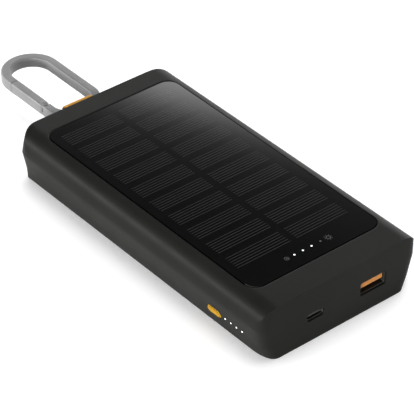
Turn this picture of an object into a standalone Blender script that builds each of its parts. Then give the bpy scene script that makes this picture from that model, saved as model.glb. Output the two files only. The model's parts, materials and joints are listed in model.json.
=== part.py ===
"""Solar phone charger with a carabiner on a strap.

Frame: the origin is at the bottom centre of the case. +X runs to the right along the port face,
+Y runs from the port face to the strap end, +Z is up. Lengths are metres.
"""
import bpy
import bmesh
from math import acos, asin, cos, hypot, pi, radians, sin
from mathutils import Vector

for old_object in list(bpy.data.objects):
    bpy.data.objects.remove(old_object, do_unlink=True)

MM = 0.001
GAP = 0.3 * MM                      # clearance kept between neighbouring pieces

# Case, the driving dimensions
CASE_LENGTH = 156.0 * MM
CASE_HEIGHT = 25.7 * MM
HALF_Y = CASE_LENGTH / 2
CREASE_HALF_X = 40.1 * MM           # widest half width, at the crease of the long sides
CREASE_Z = 15.5 * MM
BOTTOM_HALF_X = 35.9 * MM
TOP_HALF_X = 31.3 * MM              # where the rolled edge meets the flat top
ROLL_POWER = 2.5                    # squareness of the rolled edge
EDGE = 0.3 * MM                     # chamfer round the bottom
WALL = 2.2 * MM
CAVITY_TOP = 21.0 * MM
COVER_THICK = 2.0 * MM
MID_Z = 6.0 * MM
MID_HALF_X = BOTTOM_HALF_X + (CREASE_HALF_X - BOTTOM_HALF_X) * MID_Z / CREASE_Z
# Plan corners by height: (height, half width, semi-axis along X, semi-axis along Y, squareness)
FRONT_LEVELS = (
    (0.0, BOTTOM_HALF_X, 5.5 * MM, 12.0 * MM, 2.6),
    (MID_Z, MID_HALF_X, 7.5 * MM, 10.0 * MM, 4.0),
    (CREASE_Z, CREASE_HALF_X, 9.0 * MM, 9.0 * MM, 4.2),
    (CASE_HEIGHT, CREASE_HALF_X, 9.0 * MM, 9.0 * MM, 4.2),
)
BACK_LEVELS = (
    (0.0, BOTTOM_HALF_X, 0.9 * MM, 0.9 * MM, 2.0),
    (MID_Z, MID_HALF_X, 4.7 * MM, 4.7 * MM, 2.6),
    (CREASE_Z, CREASE_HALF_X, 9.0 * MM, 9.0 * MM, 3.6),
    (CASE_HEIGHT, CREASE_HALF_X, 12.0 * MM, 12.0 * MM, 2.4),
)
INNER_LEVELS = (
    (-1.0 * MM, 33.4 * MM, 5.0 * MM, 7.0 * MM, 2.8),
    (CREASE_Z, 37.6 * MM, 8.0 * MM, 8.0 * MM, 2.8),
    (CAVITY_TOP, 35.4 * MM, 8.0 * MM, 8.0 * MM, 2.5),
)
BOSS_R = 2.7 * MM
BOSS_X = 30.5 * MM
COVER_BOSSES = [(side * BOSS_X, y * MM) for y in (-70.5, 5.0, 70.5) for side in (-1, 1)]
COVER_PILOT = (0.5 * MM, 10.5 * MM)     # lowest and highest point of the screw's pilot hole
STRAP_BOSSES = [(-15.0 * MM, 70.0 * MM), (15.0 * MM, 70.0 * MM)]
STRAP_BOSS_FOOT = 10.8 * MM
STRAP_PILOT = (9.0 * MM, 18.0 * MM)
SCREW_R = 1.0 * MM
SCREW_HEAD_R = 1.9 * MM
BOARD_SCREW_R = 0.9 * MM
BOARD_POST_R = 2.6 * MM

# Solar panel in the top
PANEL_HALF_X = 33.0 * MM
PANEL_FRONT_Y = -64.7 * MM
PANEL_BACK_Y = 67.4 * MM
PANEL_CORNER = 5.5 * MM
PANEL_MID_Y = (PANEL_FRONT_Y + PANEL_BACK_Y) / 2
PANEL_HALF_Y = (PANEL_BACK_Y - PANEL_FRONT_Y) / 2
RECESS_FLOOR = 22.9 * MM
WINDOW_HALF = (28.0 * MM, 58.5 * MM)    # opening under the cells
WINDOW_MID_Y = 1.5 * MM
CELL_BOARD_FRONT_Y = -52.6 * MM
STRIP_SIZE = (30.0 * MM, 8.0 * MM)
STRIP_Y = -58.1 * MM
GLASS_THICK = 0.7 * MM
BOARD_THICK = 0.7 * MM
TAPE_THICK = 0.5 * MM

# Ports in the front face
PORT_Z = 11.8 * MM
USB_A_X = 16.9 * MM
USB_A_SIZE = (13.1 * MM, 5.7 * MM, 14.0 * MM)
USB_C_X = -12.9 * MM
USB_C_SIZE = (9.0 * MM, 3.2 * MM, 7.6 * MM)
METAL = 0.35 * MM
PORT_FRONT_Y = -HALF_Y + 0.3 * MM
USB_A_CORNER = 0.6 * MM
TONGUE_SET_BACK = 1.0 * MM
USB_A_TONGUE_HALF_X = 5.6 * MM
USB_A_TONGUE_LOW = -0.3 * MM
USB_A_ROOT = 2.6 * MM
USB_C_TONGUE_HALF_X = 3.2 * MM
USB_C_TONGUE_HALF_Z = 0.35 * MM
USB_C_ROOT = 1.4 * MM

# Circuit board
PCB_TOP = 8.6 * MM
PCB_THICK = 1.2 * MM
PCB_FRONT_Y = -75.2 * MM
PCB_BACK_Y = -43.0 * MM
PCB_HALF_X = 31.5 * MM
PCB_NOTCH_X = 26.8 * MM
PCB_NOTCH_Y = -66.6 * MM
PCB_SCREWS = ((-22.0 * MM, -49.0 * MM), (22.0 * MM, -49.0 * MM))

# Power button and charge lights in the left wall
BUTTON_Y = -47.6 * MM
BUTTON_Z = 7.4 * MM
BUTTON_SIZE = (7.8 * MM, 3.6 * MM)
BUTTON_FACE_X = -38.4 * MM
BUTTON_FLANGE_X = -34.1 * MM
BUTTON_LEAN = 0.35 * MM
BUTTON_FLANGE = 0.9 * MM
BUTTON_FLANGE_THICK = 0.7 * MM
PLUNGER_R = 1.0 * MM
LIGHT_Z = 7.8 * MM
LIGHT_YS = [(-64.3 + 3.32 * step) * MM for step in range(4)]
LIGHT_R = 0.5 * MM
GUIDE_X = -33.3 * MM
LIGHT_PIN = 4.6 * MM
SWITCH_MID = (-30.45 * MM, BUTTON_Y, 5.5 * MM)

# Battery
CELL_SIZE = (54.0 * MM, 102.0 * MM, 7.8 * MM)
CELL_MID_Y = 12.0 * MM
LOWER_CELL_Z = 2.9 * MM
CELL_EDGE = 0.8 * MM
FOAM_THICK = 0.8 * MM
CELL_LEAD_R = 0.7 * MM
SOLAR_LEAD_R = 0.6 * MM

# Strap and carabiner
RING_Z = 13.5 * MM
STRAP_HALF_X = 7.0 * MM
STRAP_PIVOT_Y = HALF_Y - 0.3 * MM
STRAP_ROOT_R = 1.9 * MM
STRAP_OUTER_R = 4.1 * MM
STRAP_INNER_R = 3.0 * MM
ANCHOR_Y = 69.5 * MM
ANCHOR_R = 1.2 * MM
ANCHOR_HALF_X = 11.6 * MM
SLOT_SIZE = (STRAP_HALF_X + 0.5 * MM, 3.1 * MM, 0.8 * MM)     # half width, half height, corner
BAR_Y = HALF_Y + 9.9 * MM           # near bar of the carabiner, its swing axis
RING_HALF_X = 11.25 * MM            # centre line of the legs
RING_FAR_Y = HALF_Y + 45.2 * MM     # centre of the far bend
RING_NEAR_R = 6.0 * MM
LEG = (4.1 * MM, 5.2 * MM)          # width and thickness of the legs
BAR = (3.6 * MM, 3.8 * MM)          # the same for the near bar
RING_ROUND = 0.8 * MM
GATE_PIVOT_Y = HALF_Y + 20.65 * MM
GATE_END_Y = HALF_Y + 41.9 * MM
KNUCKLE_R = 2.1 * MM
PIN_R = 0.6 * MM
TONGUE_T = 1.3 * MM
TONGUE_LENGTH = 5.0 * MM
TONGUE_HALF = (1.5 * MM, 1.55 * MM)     # half width at the leg and at the pin
FORK_DEPTH = 2.6 * MM
SPRING_WELL_R = 1.3 * MM
SPRING_WELL = (2.0 * MM, 11.0 * MM)
THROUGH = 5.0 * MM                  # half length of a cut through the whole bar

PARTS = bpy.context.scene.collection


# ---------------------------------------------------------------- helpers

def material(name, colour, roughness, metallic=0.0):
    made = bpy.data.materials.new(name)
    made.use_nodes = True
    shader = made.node_tree.nodes["Principled BSDF"]
    shader.inputs["Base Color"].default_value = (*colour, 1.0)
    shader.inputs["Roughness"].default_value = roughness
    shader.inputs["Metallic"].default_value = metallic
    return made


def make_object(name, bm, mat=None, location=(0, 0, 0), parent=None, sharp=30):
    """Turn a bmesh into a named object; location is local to the parent."""
    bmesh.ops.recalc_face_normals(bm, faces=bm.faces)
    mesh = bpy.data.meshes.new(name)
    bm.to_mesh(mesh)
    bm.free()
    mesh.shade_smooth()
    mesh.set_sharp_from_angle(angle=radians(sharp))
    made = bpy.data.objects.new(name, mesh)
    PARTS.objects.link(made)
    made.location = location
    made.parent = parent
    if mat:
        mesh.materials.append(mat)
    return made


def cutter(name, bm, parent=None, location=(0, 0, 0)):
    made = make_object(name, bm, None, location, parent)
    made.hide_render = True
    made.display_type = "WIRE"
    return made


def combine(target, other, operation):
    step = target.modifiers.new(other.name, "BOOLEAN")
    step.operation = operation
    step.solver = "EXACT"
    step.object = other
    return target


def bevel(target, width, segments=2, angle=30):
    step = target.modifiers.new("edges", "BEVEL")
    step.width = width
    step.segments = segments
    step.limit_method = "ANGLE"
    step.angle_limit = radians(angle)
    step.use_clamp_overlap = True
    return target


def empty(name, location, parent=None):
    made = bpy.data.objects.new(name, None)
    PARTS.objects.link(made)
    made.location = location
    made.parent = parent
    return made


def place(axis, u, v, w):
    """A point from in-plane coordinates u, v and the height w along the axis."""
    return {"X": (w, u, v), "Y": (u, w, v), "Z": (u, v, w)}[axis]


def add_prism(bm, outline, axis, low, high):
    """Extrude a closed outline along an axis."""
    foot = [bm.verts.new(place(axis, u, v, low)) for u, v in outline]
    head = [bm.verts.new(place(axis, u, v, high)) for u, v in outline]
    bm.faces.new(foot)
    bm.faces.new(list(reversed(head)))
    for here in range(len(outline)):
        after = (here + 1) % len(outline)
        bm.faces.new((foot[after], foot[here], head[here], head[after]))


def prism(outline, axis, low, high):
    bm = bmesh.new()
    add_prism(bm, outline, axis, low, high)
    return bm


def rectangle(half_u, half_v, centre=(0, 0)):
    u, v = centre
    return [(u + side_u * half_u, v + side_v * half_v) for side_u, side_v in
            ((-1, -1), (1, -1), (1, 1), (-1, 1))]


def circle(radius, centre=(0, 0), segments=24, start=0.0):
    turn = 2 * pi / segments
    return [(centre[0] + radius * cos(start + turn * i), centre[1] + radius * sin(start + turn * i))
            for i in range(segments)]


def round_rectangle(half_u, half_v, radius, centre=(0, 0), steps=5):
    """Rounded rectangle; with the radius equal to half the height it is a pill."""
    outline = []
    for quarter, (su, sv) in enumerate(((1, 1), (-1, 1), (-1, -1), (1, -1))):
        for i in range(steps + 1):
            angle = (quarter + i / steps) * pi / 2
            point = (centre[0] + su * (half_u - radius) + radius * cos(angle),
                     centre[1] + sv * (half_v - radius) + radius * sin(angle))
            if not outline or hypot(point[0] - outline[-1][0], point[1] - outline[-1][1]) > 1e-7:
                outline.append(point)
    return outline


def box(name, size, centre, mat, parent=None, edge=0.0):
    """A block with its own centre as the origin."""
    made = make_object(name, prism(rectangle(size[0] / 2, size[1] / 2), "Z", -size[2] / 2, size[2] / 2),
                       mat, centre, parent)
    return bevel(made, edge) if edge else made


def turned(profile, segments=16):
    """Turn a profile of (radius, height) points about Z; the ends lie on the axis."""
    bm = bmesh.new()
    rings = []
    for radius, height in profile:
        if radius == 0:
            rings.append([bm.verts.new((0, 0, height))])
        else:
            rings.append([bm.verts.new((x, y, height)) for x, y in circle(radius, segments=segments)])
    for low, high in zip(rings, rings[1:]):
        for i in range(segments):
            j = (i + 1) % segments
            if len(low) == 1:
                bm.faces.new((low[0], high[i], high[j]))
            elif len(high) == 1:
                bm.faces.new((low[i], low[j], high[0]))
            else:
                bm.faces.new((low[i], low[j], high[j], high[i]))
    return bm


def loft(rings):
    """Join rings of equal length and close both ends."""
    bm = bmesh.new()
    made = [[bm.verts.new(point) for point in ring] for ring in rings]
    count = len(made[0])
    for low, high in zip(made, made[1:]):
        for i in range(count):
            j = (i + 1) % count
            bm.faces.new((low[i], low[j], high[j], high[i]))
    bm.faces.new(list(reversed(made[0])))
    bm.faces.new(made[-1])
    return bm


def tube(name, points, radius, mat, resolution=2):
    """A wire along a smooth route through the given points."""
    curve = bpy.data.curves.new(name, "CURVE")
    curve.dimensions = "3D"
    curve.bevel_depth = radius
    curve.bevel_resolution = resolution
    curve.use_fill_caps = True
    route = curve.splines.new("POLY")
    route.points.add(len(points) - 1)
    for spot, point in zip(route.points, points):
        spot.co = (*point, 1.0)
    curve.materials.append(mat)
    made = bpy.data.objects.new(name, curve)
    PARTS.objects.link(made)
    return made


def smooth_route(knots, steps=5):
    """Points on a Catmull-Rom curve through the knots."""
    ends = [knots[0]] + list(knots) + [knots[-1]]
    route = []
    for a, b, c, d in zip(ends, ends[1:], ends[2:], ends[3:]):
        a, b, c, d = Vector(a), Vector(b), Vector(c), Vector(d)
        for i in range(steps):
            t = i / steps
            route.append(0.5 * (2 * b + (c - a) * t + (2 * a - 5 * b + 4 * c - d) * t ** 2
                                + (3 * b - a - 3 * c + d) * t ** 3))
    return route + [Vector(knots[-1])]


# ---------------------------------------------------------------- case outline

def mix_levels(low, high, z):
    share = (z - low[0]) / (high[0] - low[0])
    return [a + (b - a) * share for a, b in zip(low, high)][1:]


def plan_point(levels, z, angle):
    """A point of the upright wall in a +X corner, 0 at the side and 90 degrees at the end."""
    pair = 0
    while pair < len(levels) - 2 and z > levels[pair + 1][0]:
        pair += 1
    half_x, semi_x, semi_y, power = mix_levels(levels[pair], levels[pair + 1], z)
    return (half_x - semi_x + semi_x * max(cos(angle), 0) ** (2 / power),
            HALF_Y - semi_y + semi_y * sin(angle) ** (2 / power))


def roll_half_x(z):
    """Half width of the rolled long edge above the crease."""
    rise = min(max((z - CREASE_Z) / (CASE_HEIGHT - CREASE_Z), 0), 1)
    return TOP_HALF_X + (CREASE_HALF_X - TOP_HALF_X) * (1 - rise ** ROLL_POWER) ** (1 / ROLL_POWER)


def ridge_z(levels, angle):
    """Height where the rolled edge runs out of the upright corner wall."""
    low, high = CREASE_Z, CASE_HEIGHT
    if plan_point(levels, high, angle)[0] <= TOP_HALF_X:
        return high
    for _ in range(50):
        middle = (low + high) / 2
        if plan_point(levels, middle, angle)[0] > roll_half_x(middle):
            high = middle
        else:
            low = middle
    return low


def last_ridge_angle(levels):
    """Angle of the corner where the ridge has climbed to the flat top."""
    _, half_x, semi_x, _, power = levels[-1]
    return acos(((TOP_HALF_X - half_x + semi_x) / semi_x) ** (power / 2))


def case_column(levels, angle, roll_steps):
    """One upright line of the outer surface, from the bottom to the flat top."""
    foot_x, foot_y = plan_point(levels, 0, angle)
    column = [(foot_x - EDGE, foot_y - EDGE, 0)]
    for z in (EDGE, MID_Z, CREASE_Z):
        column.append((*plan_point(levels, z, angle), z))
    top = ridge_z(levels, angle)
    ridge_x, ridge_y = plan_point(levels, top, angle)
    column.append((ridge_x, ridge_y, top))
    rise = min((top - CREASE_Z) / (CASE_HEIGHT - CREASE_Z), 1)
    start = asin(rise ** (ROLL_POWER / 2))
    for step in range(1, roll_steps + 1):
        turn = start + (pi / 2 - start) * step / roll_steps
        z = CREASE_Z + (CASE_HEIGHT - CREASE_Z) * sin(turn) ** (2 / ROLL_POWER)
        x = TOP_HALF_X + (CREASE_HALF_X - TOP_HALF_X) * max(cos(turn), 0) ** (2 / ROLL_POWER)
        column.append((min(x, ridge_x), ridge_y, z))
    return column


def case_quarter(levels, columns, roll_steps):
    last = last_ridge_angle(levels)
    angles = [last * i / columns for i in range(columns + 1)] + [pi / 2]
    return [case_column(levels, angle, roll_steps) for angle in angles]


def case_solid(columns=9, roll_steps=7):
    """The whole outside of the case as one solid."""
    front = case_quarter(FRONT_LEVELS, columns, roll_steps)
    back = case_quarter(BACK_LEVELS, columns, roll_steps)
    around = []
    for quarter, sx, sy in ((back, 1, 1), (back, -1, 1), (front, -1, -1), (front, 1, -1)):
        part = [[(sx * x, sy * y, z) for x, y, z in column] for column in quarter]
        around += part if sx * sy > 0 else part[::-1]
    bm = bmesh.new()
    lines = [[bm.verts.new(point) for point in column] for column in around]
    for here, line in enumerate(lines):
        after = lines[(here + 1) % len(lines)]
        for low in range(len(line) - 1):
            bm.faces.new((line[low], after[low], after[low + 1], line[low + 1]))
    bm.faces.new([line[0] for line in reversed(lines)])
    bm.faces.new([line[-1] for line in lines])
    bmesh.ops.remove_doubles(bm, verts=bm.verts, dist=2e-6)
    bmesh.ops.dissolve_degenerate(bm, edges=bm.edges, dist=2e-6)
    return bm


def inner_outline(level, inset=0.0, steps=5):
    _, half_x, semi_x, semi_y, power = level
    half_x, half_y = half_x - inset, HALF_Y - WALL - inset
    outline = []
    for sx, sy in ((1, 1), (-1, 1), (-1, -1), (1, -1)):
        part = []
        for i in range(steps + 1):
            angle = pi / 2 * i / steps
            part.append((sx * (half_x - semi_x + semi_x * max(cos(angle), 0) ** (2 / power)),
                         sy * (half_y - semi_y + semi_y * sin(angle) ** (2 / power))))
        outline += part if sx * sy > 0 else part[::-1]
    return outline


def cavity_solid():
    return loft([[(x, y, level[0]) for x, y in inner_outline(level)] for level in INNER_LEVELS])


# ---------------------------------------------------------------- case pieces

def panel_outline(grow, corner):
    return round_rectangle(PANEL_HALF_X + grow, PANEL_HALF_Y + grow, corner, (0, PANEL_MID_Y))


def build_housing(mat):
    """The shell: top, four walls, screw posts, and every opening in it."""
    shell = make_object("housing_shell", case_solid(), mat, sharp=14)
    combine(shell, cutter("cut_cavity", cavity_solid()), "DIFFERENCE")
    posts = bmesh.new()
    for spot in COVER_BOSSES:
        add_prism(posts, circle(BOSS_R, spot, 16), "Z", COVER_THICK + GAP, CAVITY_TOP + MM)
    for spot in STRAP_BOSSES:
        add_prism(posts, circle(BOSS_R, spot, 16), "Z", STRAP_BOSS_FOOT, CAVITY_TOP + MM)
    combine(shell, cutter("add_posts", posts), "UNION")
    combine(shell, cutter("cut_openings", housing_openings()), "DIFFERENCE")
    combine(shell, cutter("cut_panel_recess", prism(panel_outline(GAP, PANEL_CORNER), "Z", RECESS_FLOOR,
                                                    CASE_HEIGHT + 5 * MM)), "DIFFERENCE")
    window = prism(rectangle(*WINDOW_HALF, (0, WINDOW_MID_Y)), "Z", CAVITY_TOP - 2 * MM, RECESS_FLOOR + MM)
    combine(shell, cutter("cut_window", window), "DIFFERENCE")
    return shell


def housing_openings():
    """Screw pilots, port openings, button and light holes, and the strap slot."""
    bm = bmesh.new()
    pilot = SCREW_R + GAP
    for spot in COVER_BOSSES:
        add_prism(bm, circle(pilot, spot, 12), "Z", *COVER_PILOT)
    for spot in STRAP_BOSSES:
        add_prism(bm, circle(pilot, spot, 12), "Z", *STRAP_PILOT)
    front = (-HALF_Y - 2 * MM, -HALF_Y + WALL + MM)
    width, height, _ = USB_A_SIZE
    add_prism(bm, round_rectangle(width / 2 + GAP, height / 2 + GAP, 0.7 * MM, (USB_A_X, PORT_Z), 2),
              "Y", *front)
    width, height, _ = USB_C_SIZE
    add_prism(bm, round_rectangle(width / 2 + GAP, height / 2 + GAP, height / 2 + GAP, (USB_C_X, PORT_Z), 5),
              "Y", *front)
    left = (-CREASE_HALF_X - MM, -32.0 * MM)
    half_u, half_v = BUTTON_SIZE[0] / 2 + GAP, BUTTON_SIZE[1] / 2 + GAP
    add_prism(bm, round_rectangle(half_u, half_v, half_v, (BUTTON_Y, BUTTON_Z), 5), "X", *left)
    for y in LIGHT_YS:
        add_prism(bm, circle(LIGHT_R + GAP, (y, LIGHT_Z), 12), "X", *left)
    add_prism(bm, round_rectangle(*SLOT_SIZE, (0, RING_Z), 4), "Y", HALF_Y - WALL - MM, HALF_Y + 2 * MM)
    return bm


def build_cover(mat):
    """Bottom plate inside the rim, with countersunk holes and two board posts."""
    level = mix_levels(INNER_LEVELS[0], INNER_LEVELS[1], 0)
    outline = inner_outline((0, *level), GAP)
    cover = make_object("bottom_cover", prism(outline, "Z", 0, COVER_THICK), mat)
    posts = bmesh.new()
    for spot in PCB_SCREWS:
        add_prism(posts, circle(BOARD_POST_R, spot, 16), "Z", COVER_THICK - MM, PCB_TOP - PCB_THICK - GAP)
    combine(cover, cutter("add_board_posts", posts), "UNION")
    holes = bmesh.new()
    for spot in COVER_BOSSES:
        add_prism(holes, circle(SCREW_R + GAP, spot, 12), "Z", -MM, COVER_THICK + MM)
    for spot in PCB_SCREWS:
        add_prism(holes, circle(BOARD_SCREW_R + GAP, spot, 12), "Z", 3.2 * MM, PCB_TOP)
    combine(cover, cutter("cut_cover_holes", holes), "DIFFERENCE")
    sinks = bmesh.new()
    for x, y in COVER_BOSSES:
        cone = turned([(0, -1 * MM), (SCREW_HEAD_R + GAP, -1 * MM), (SCREW_HEAD_R + GAP, 0.45 * MM),
                       (SCREW_R + GAP - 0.1 * MM, 1.5 * MM), (0, 1.5 * MM)], 16)
        bmesh.ops.translate(cone, vec=(x, y, 0), verts=cone.verts)
        scratch = bpy.data.meshes.new("sink")
        cone.to_mesh(scratch)
        cone.free()
        sinks.from_mesh(scratch)
        bpy.data.meshes.remove(scratch)
    combine(cover, cutter("cut_countersinks", sinks), "DIFFERENCE")
    return cover


def countersunk_screw(name, spot, mat):
    """Small countersunk screw driven upwards, with a round socket in its head."""
    profile = [(0, 0.9 * MM), (0.6 * MM, 0.8 * MM), (0.7 * MM, 0.2 * MM), (SCREW_HEAD_R, 0.2 * MM),
               (SCREW_HEAD_R, 0.4 * MM), (SCREW_R, 1.4 * MM), (SCREW_R, 8.6 * MM), (0.5 * MM, 9.4 * MM),
               (0, 9.4 * MM)]
    return make_object(name, turned(profile, 16), mat, (*spot, 0))


def pan_screw(name, spot, head_z, length, shank_r, mat, upward):
    """Pan-head screw; head_z is the bearing face, the shank runs upward or downward."""
    way = 1 if upward else -1
    head = 1.2 * MM
    profile = [(0, -head * 0.55), (0.6 * MM, -head * 0.6), (0.7 * MM, -head), (shank_r * 1.5, -head),
               (shank_r * 1.9, -head * 0.5), (shank_r * 1.9, 0), (shank_r, 0), (shank_r, length - 0.6 * MM),
               (shank_r * 0.5, length), (0, length)]
    bm = turned([(radius, way * height) for radius, height in profile], 14)
    return make_object(name, bm, mat, (*spot, head_z))


# ---------------------------------------------------------------- solar panel

def build_panel(glass, cells, tape, board):
    top = CASE_HEIGHT
    outline = round_rectangle(PANEL_HALF_X, PANEL_HALF_Y, PANEL_CORNER - GAP)
    sheet = make_object("solar_glass", prism(outline, "Z", -GLASS_THICK, 0), glass, (0, PANEL_MID_Y, top))
    board_top = top - GLASS_THICK - GAP
    front, back = CELL_BOARD_FRONT_Y, PANEL_BACK_Y - 0.8 * MM
    board_outline = round_rectangle(PANEL_HALF_X - 0.8 * MM, (back - front) / 2, PANEL_CORNER - MM)
    make_object("solar_cell_board", prism(board_outline, "Z", -BOARD_THICK, 0), cells,
                (0, (front + back) / 2, board_top))
    box("indicator_strip", (*STRIP_SIZE, BOARD_THICK), (0, STRIP_Y, board_top - BOARD_THICK / 2), board)
    margin = 0.4 * MM
    tape_outline = round_rectangle(PANEL_HALF_X - margin, PANEL_HALF_Y - margin, PANEL_CORNER - MM, steps=3)
    ring = make_object("panel_tape", prism(tape_outline, "Z", 0, TAPE_THICK), tape,
                       (0, PANEL_MID_Y, RECESS_FLOOR + GAP / 2))
    hole = cutter("cut_tape", prism(rectangle(29.0 * MM, 60.0 * MM), "Z", -MM, 2 * MM), None,
                  (0, PANEL_MID_Y, RECESS_FLOOR))
    combine(ring, hole, "DIFFERENCE")
    return sheet


# ---------------------------------------------------------------- ports

def port_shell(name, x, size, corner, steps, mat):
    """Folded metal sleeve, open at the front and closed at the back."""
    width, height, depth = size
    outer = round_rectangle(width / 2, height / 2, corner, steps=steps)
    shell = make_object(name, prism(outer, "Y", 0, depth), mat, (x, PORT_FRONT_Y, PORT_Z))
    inner = round_rectangle(width / 2 - METAL, height / 2 - METAL, corner - METAL, steps=steps)
    hollow = cutter("cut_" + name, prism(inner, "Y", -MM, depth - METAL), None, (x, PORT_FRONT_Y, PORT_Z))
    return combine(shell, hollow, "DIFFERENCE")


def build_ports(metal, orange, black, resin):
    _, height, depth = USB_A_SIZE
    port_shell("usb_a_shell", USB_A_X, USB_A_SIZE, USB_A_CORNER, 2, metal)
    inside = height / 2 - METAL - GAP
    root = depth - METAL - GAP
    neck = root - USB_A_ROOT
    side = [(TONGUE_SET_BACK, USB_A_TONGUE_LOW), (neck, USB_A_TONGUE_LOW), (neck, -inside), (root, -inside),
            (root, inside), (TONGUE_SET_BACK, inside)]
    make_object("usb_a_tongue", prism(side, "X", -USB_A_TONGUE_HALF_X, USB_A_TONGUE_HALF_X), orange,
                (USB_A_X, PORT_FRONT_Y, PORT_Z))

    _, height, depth = USB_C_SIZE
    port_shell("usb_c_shell", USB_C_X, USB_C_SIZE, height / 2, 5, metal)
    inside = height / 2 - METAL - GAP
    root = depth - METAL - GAP
    neck = root - USB_C_ROOT
    half = USB_C_TONGUE_HALF_Z
    side = [(TONGUE_SET_BACK, -half), (neck, -half), (neck, -inside), (root, -inside),
            (root, inside), (neck, inside), (neck, half), (TONGUE_SET_BACK, half)]
    make_object("usb_c_tongue", prism(side, "X", -USB_C_TONGUE_HALF_X, USB_C_TONGUE_HALF_X), black,
                (USB_C_X, PORT_FRONT_Y, PORT_Z))
    low, high = PCB_TOP + GAP, PORT_Z - USB_C_SIZE[1] / 2 - GAP
    box("usb_c_riser", (8.4 * MM, 5.0 * MM, high - low),
        (USB_C_X, PCB_FRONT_Y + 3.0 * MM, (low + high) / 2), resin)


# ---------------------------------------------------------------- electronics

def build_electronics(green, black, copper, silver, resin, screw_metal):
    outline = [(-PCB_NOTCH_X, PCB_FRONT_Y), (PCB_NOTCH_X, PCB_FRONT_Y), (PCB_NOTCH_X, PCB_NOTCH_Y),
               (PCB_HALF_X, PCB_NOTCH_Y), (PCB_HALF_X, PCB_BACK_Y), (-PCB_HALF_X, PCB_BACK_Y),
               (-PCB_HALF_X, PCB_NOTCH_Y), (-PCB_NOTCH_X, PCB_NOTCH_Y)]
    pcb = make_object("main_board", prism(outline, "Z", PCB_TOP - PCB_THICK, PCB_TOP), green)
    holes = bmesh.new()
    for spot in PCB_SCREWS:
        add_prism(holes, circle(BOARD_SCREW_R + GAP, spot, 12), "Z", 0, PCB_TOP + MM)
    combine(pcb, cutter("cut_board_holes", holes), "DIFFERENCE")
    for number, spot in enumerate(PCB_SCREWS, 1):
        pan_screw(f"board_screw_{number}", spot, PCB_TOP + GAP, 4.8 * MM, BOARD_SCREW_R, screw_metal, False)
    seat = PCB_TOP + GAP
    for name, size, (x, y), mat, edge in (
            ("inductor", (7.2, 7.2, 4.6), (2.0, -56.0), resin, 0.5),
            ("controller_chip", (5.0, 5.0, 0.9), (-11.0, -58.0), black, 0.0),
            ("charge_chip", (4.0, 5.0, 1.2), (12.0, -54.0), black, 0.0)):
        box(name, [side * MM for side in size], (x * MM, y * MM, seat + size[2] / 2 * MM), mat,
            edge=edge * MM)
    for number, x in enumerate((-2.5, -22.5), 1):
        can = turned([(0, 0), (2.5 * MM, 0), (2.5 * MM, 5.4 * MM), (2.2 * MM, 5.8 * MM), (0, 5.8 * MM)], 20)
        make_object(f"capacitor_{number}", can, silver, (x * MM, -67.5 * MM + (number - 1) * 6 * MM, seat))
    for number, y in enumerate(LIGHT_YS, 1):
        box(f"side_led_{number}", (1.2 * MM, 1.6 * MM, 0.8 * MM),
            (-30.6 * MM, y, PCB_TOP - PCB_THICK - GAP - 0.4 * MM), copper)


def build_battery(foil, foam, red, black, yellow, blue):
    width, length, thick = CELL_SIZE
    lower_mid = LOWER_CELL_Z + thick / 2
    box("battery_cell_lower", CELL_SIZE, (0, CELL_MID_Y, lower_mid), foil, None, CELL_EDGE)
    foam_z = LOWER_CELL_Z + thick + GAP
    box("battery_foam", (width - 6 * MM, length - 8 * MM, FOAM_THICK),
        (0, CELL_MID_Y, foam_z + FOAM_THICK / 2), foam)
    upper_z = foam_z + FOAM_THICK + GAP
    box("battery_cell_upper", CELL_SIZE, (0, CELL_MID_Y, upper_z + thick / 2), foil, None, CELL_EDGE)
    cell_front = CELL_MID_Y - length / 2 - GAP
    for name, x, mat in (("battery_lead_positive", 7.0, red), ("battery_lead_negative", -7.0, black)):
        knots = [(x * MM, cell_front - out * MM, z) for out, z in
                 ((0.3, 15.5 * MM), (3.2, 15.2 * MM), (5.4, 12.8 * MM), (5.8, PCB_TOP + 1.0 * MM))]
        tube(name, smooth_route(knots), CELL_LEAD_R, mat)
    board_low = CASE_HEIGHT - GLASS_THICK - GAP - BOARD_THICK
    for name, x, mat in (("solar_lead_positive", 20.0, yellow), ("solar_lead_negative", -16.0, blue)):
        knots = [(x * MM, -51.0 * MM, board_low - 0.5 * MM), (x * MM, -51.6 * MM, 18.0 * MM),
                 (x * MM, -52.6 * MM, 13.5 * MM), (x * MM, -52.2 * MM, PCB_TOP + 1.0 * MM)]
        tube(name, smooth_route(knots), SOLAR_LEAD_R, mat)


# ---------------------------------------------------------------- button and lights

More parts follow.
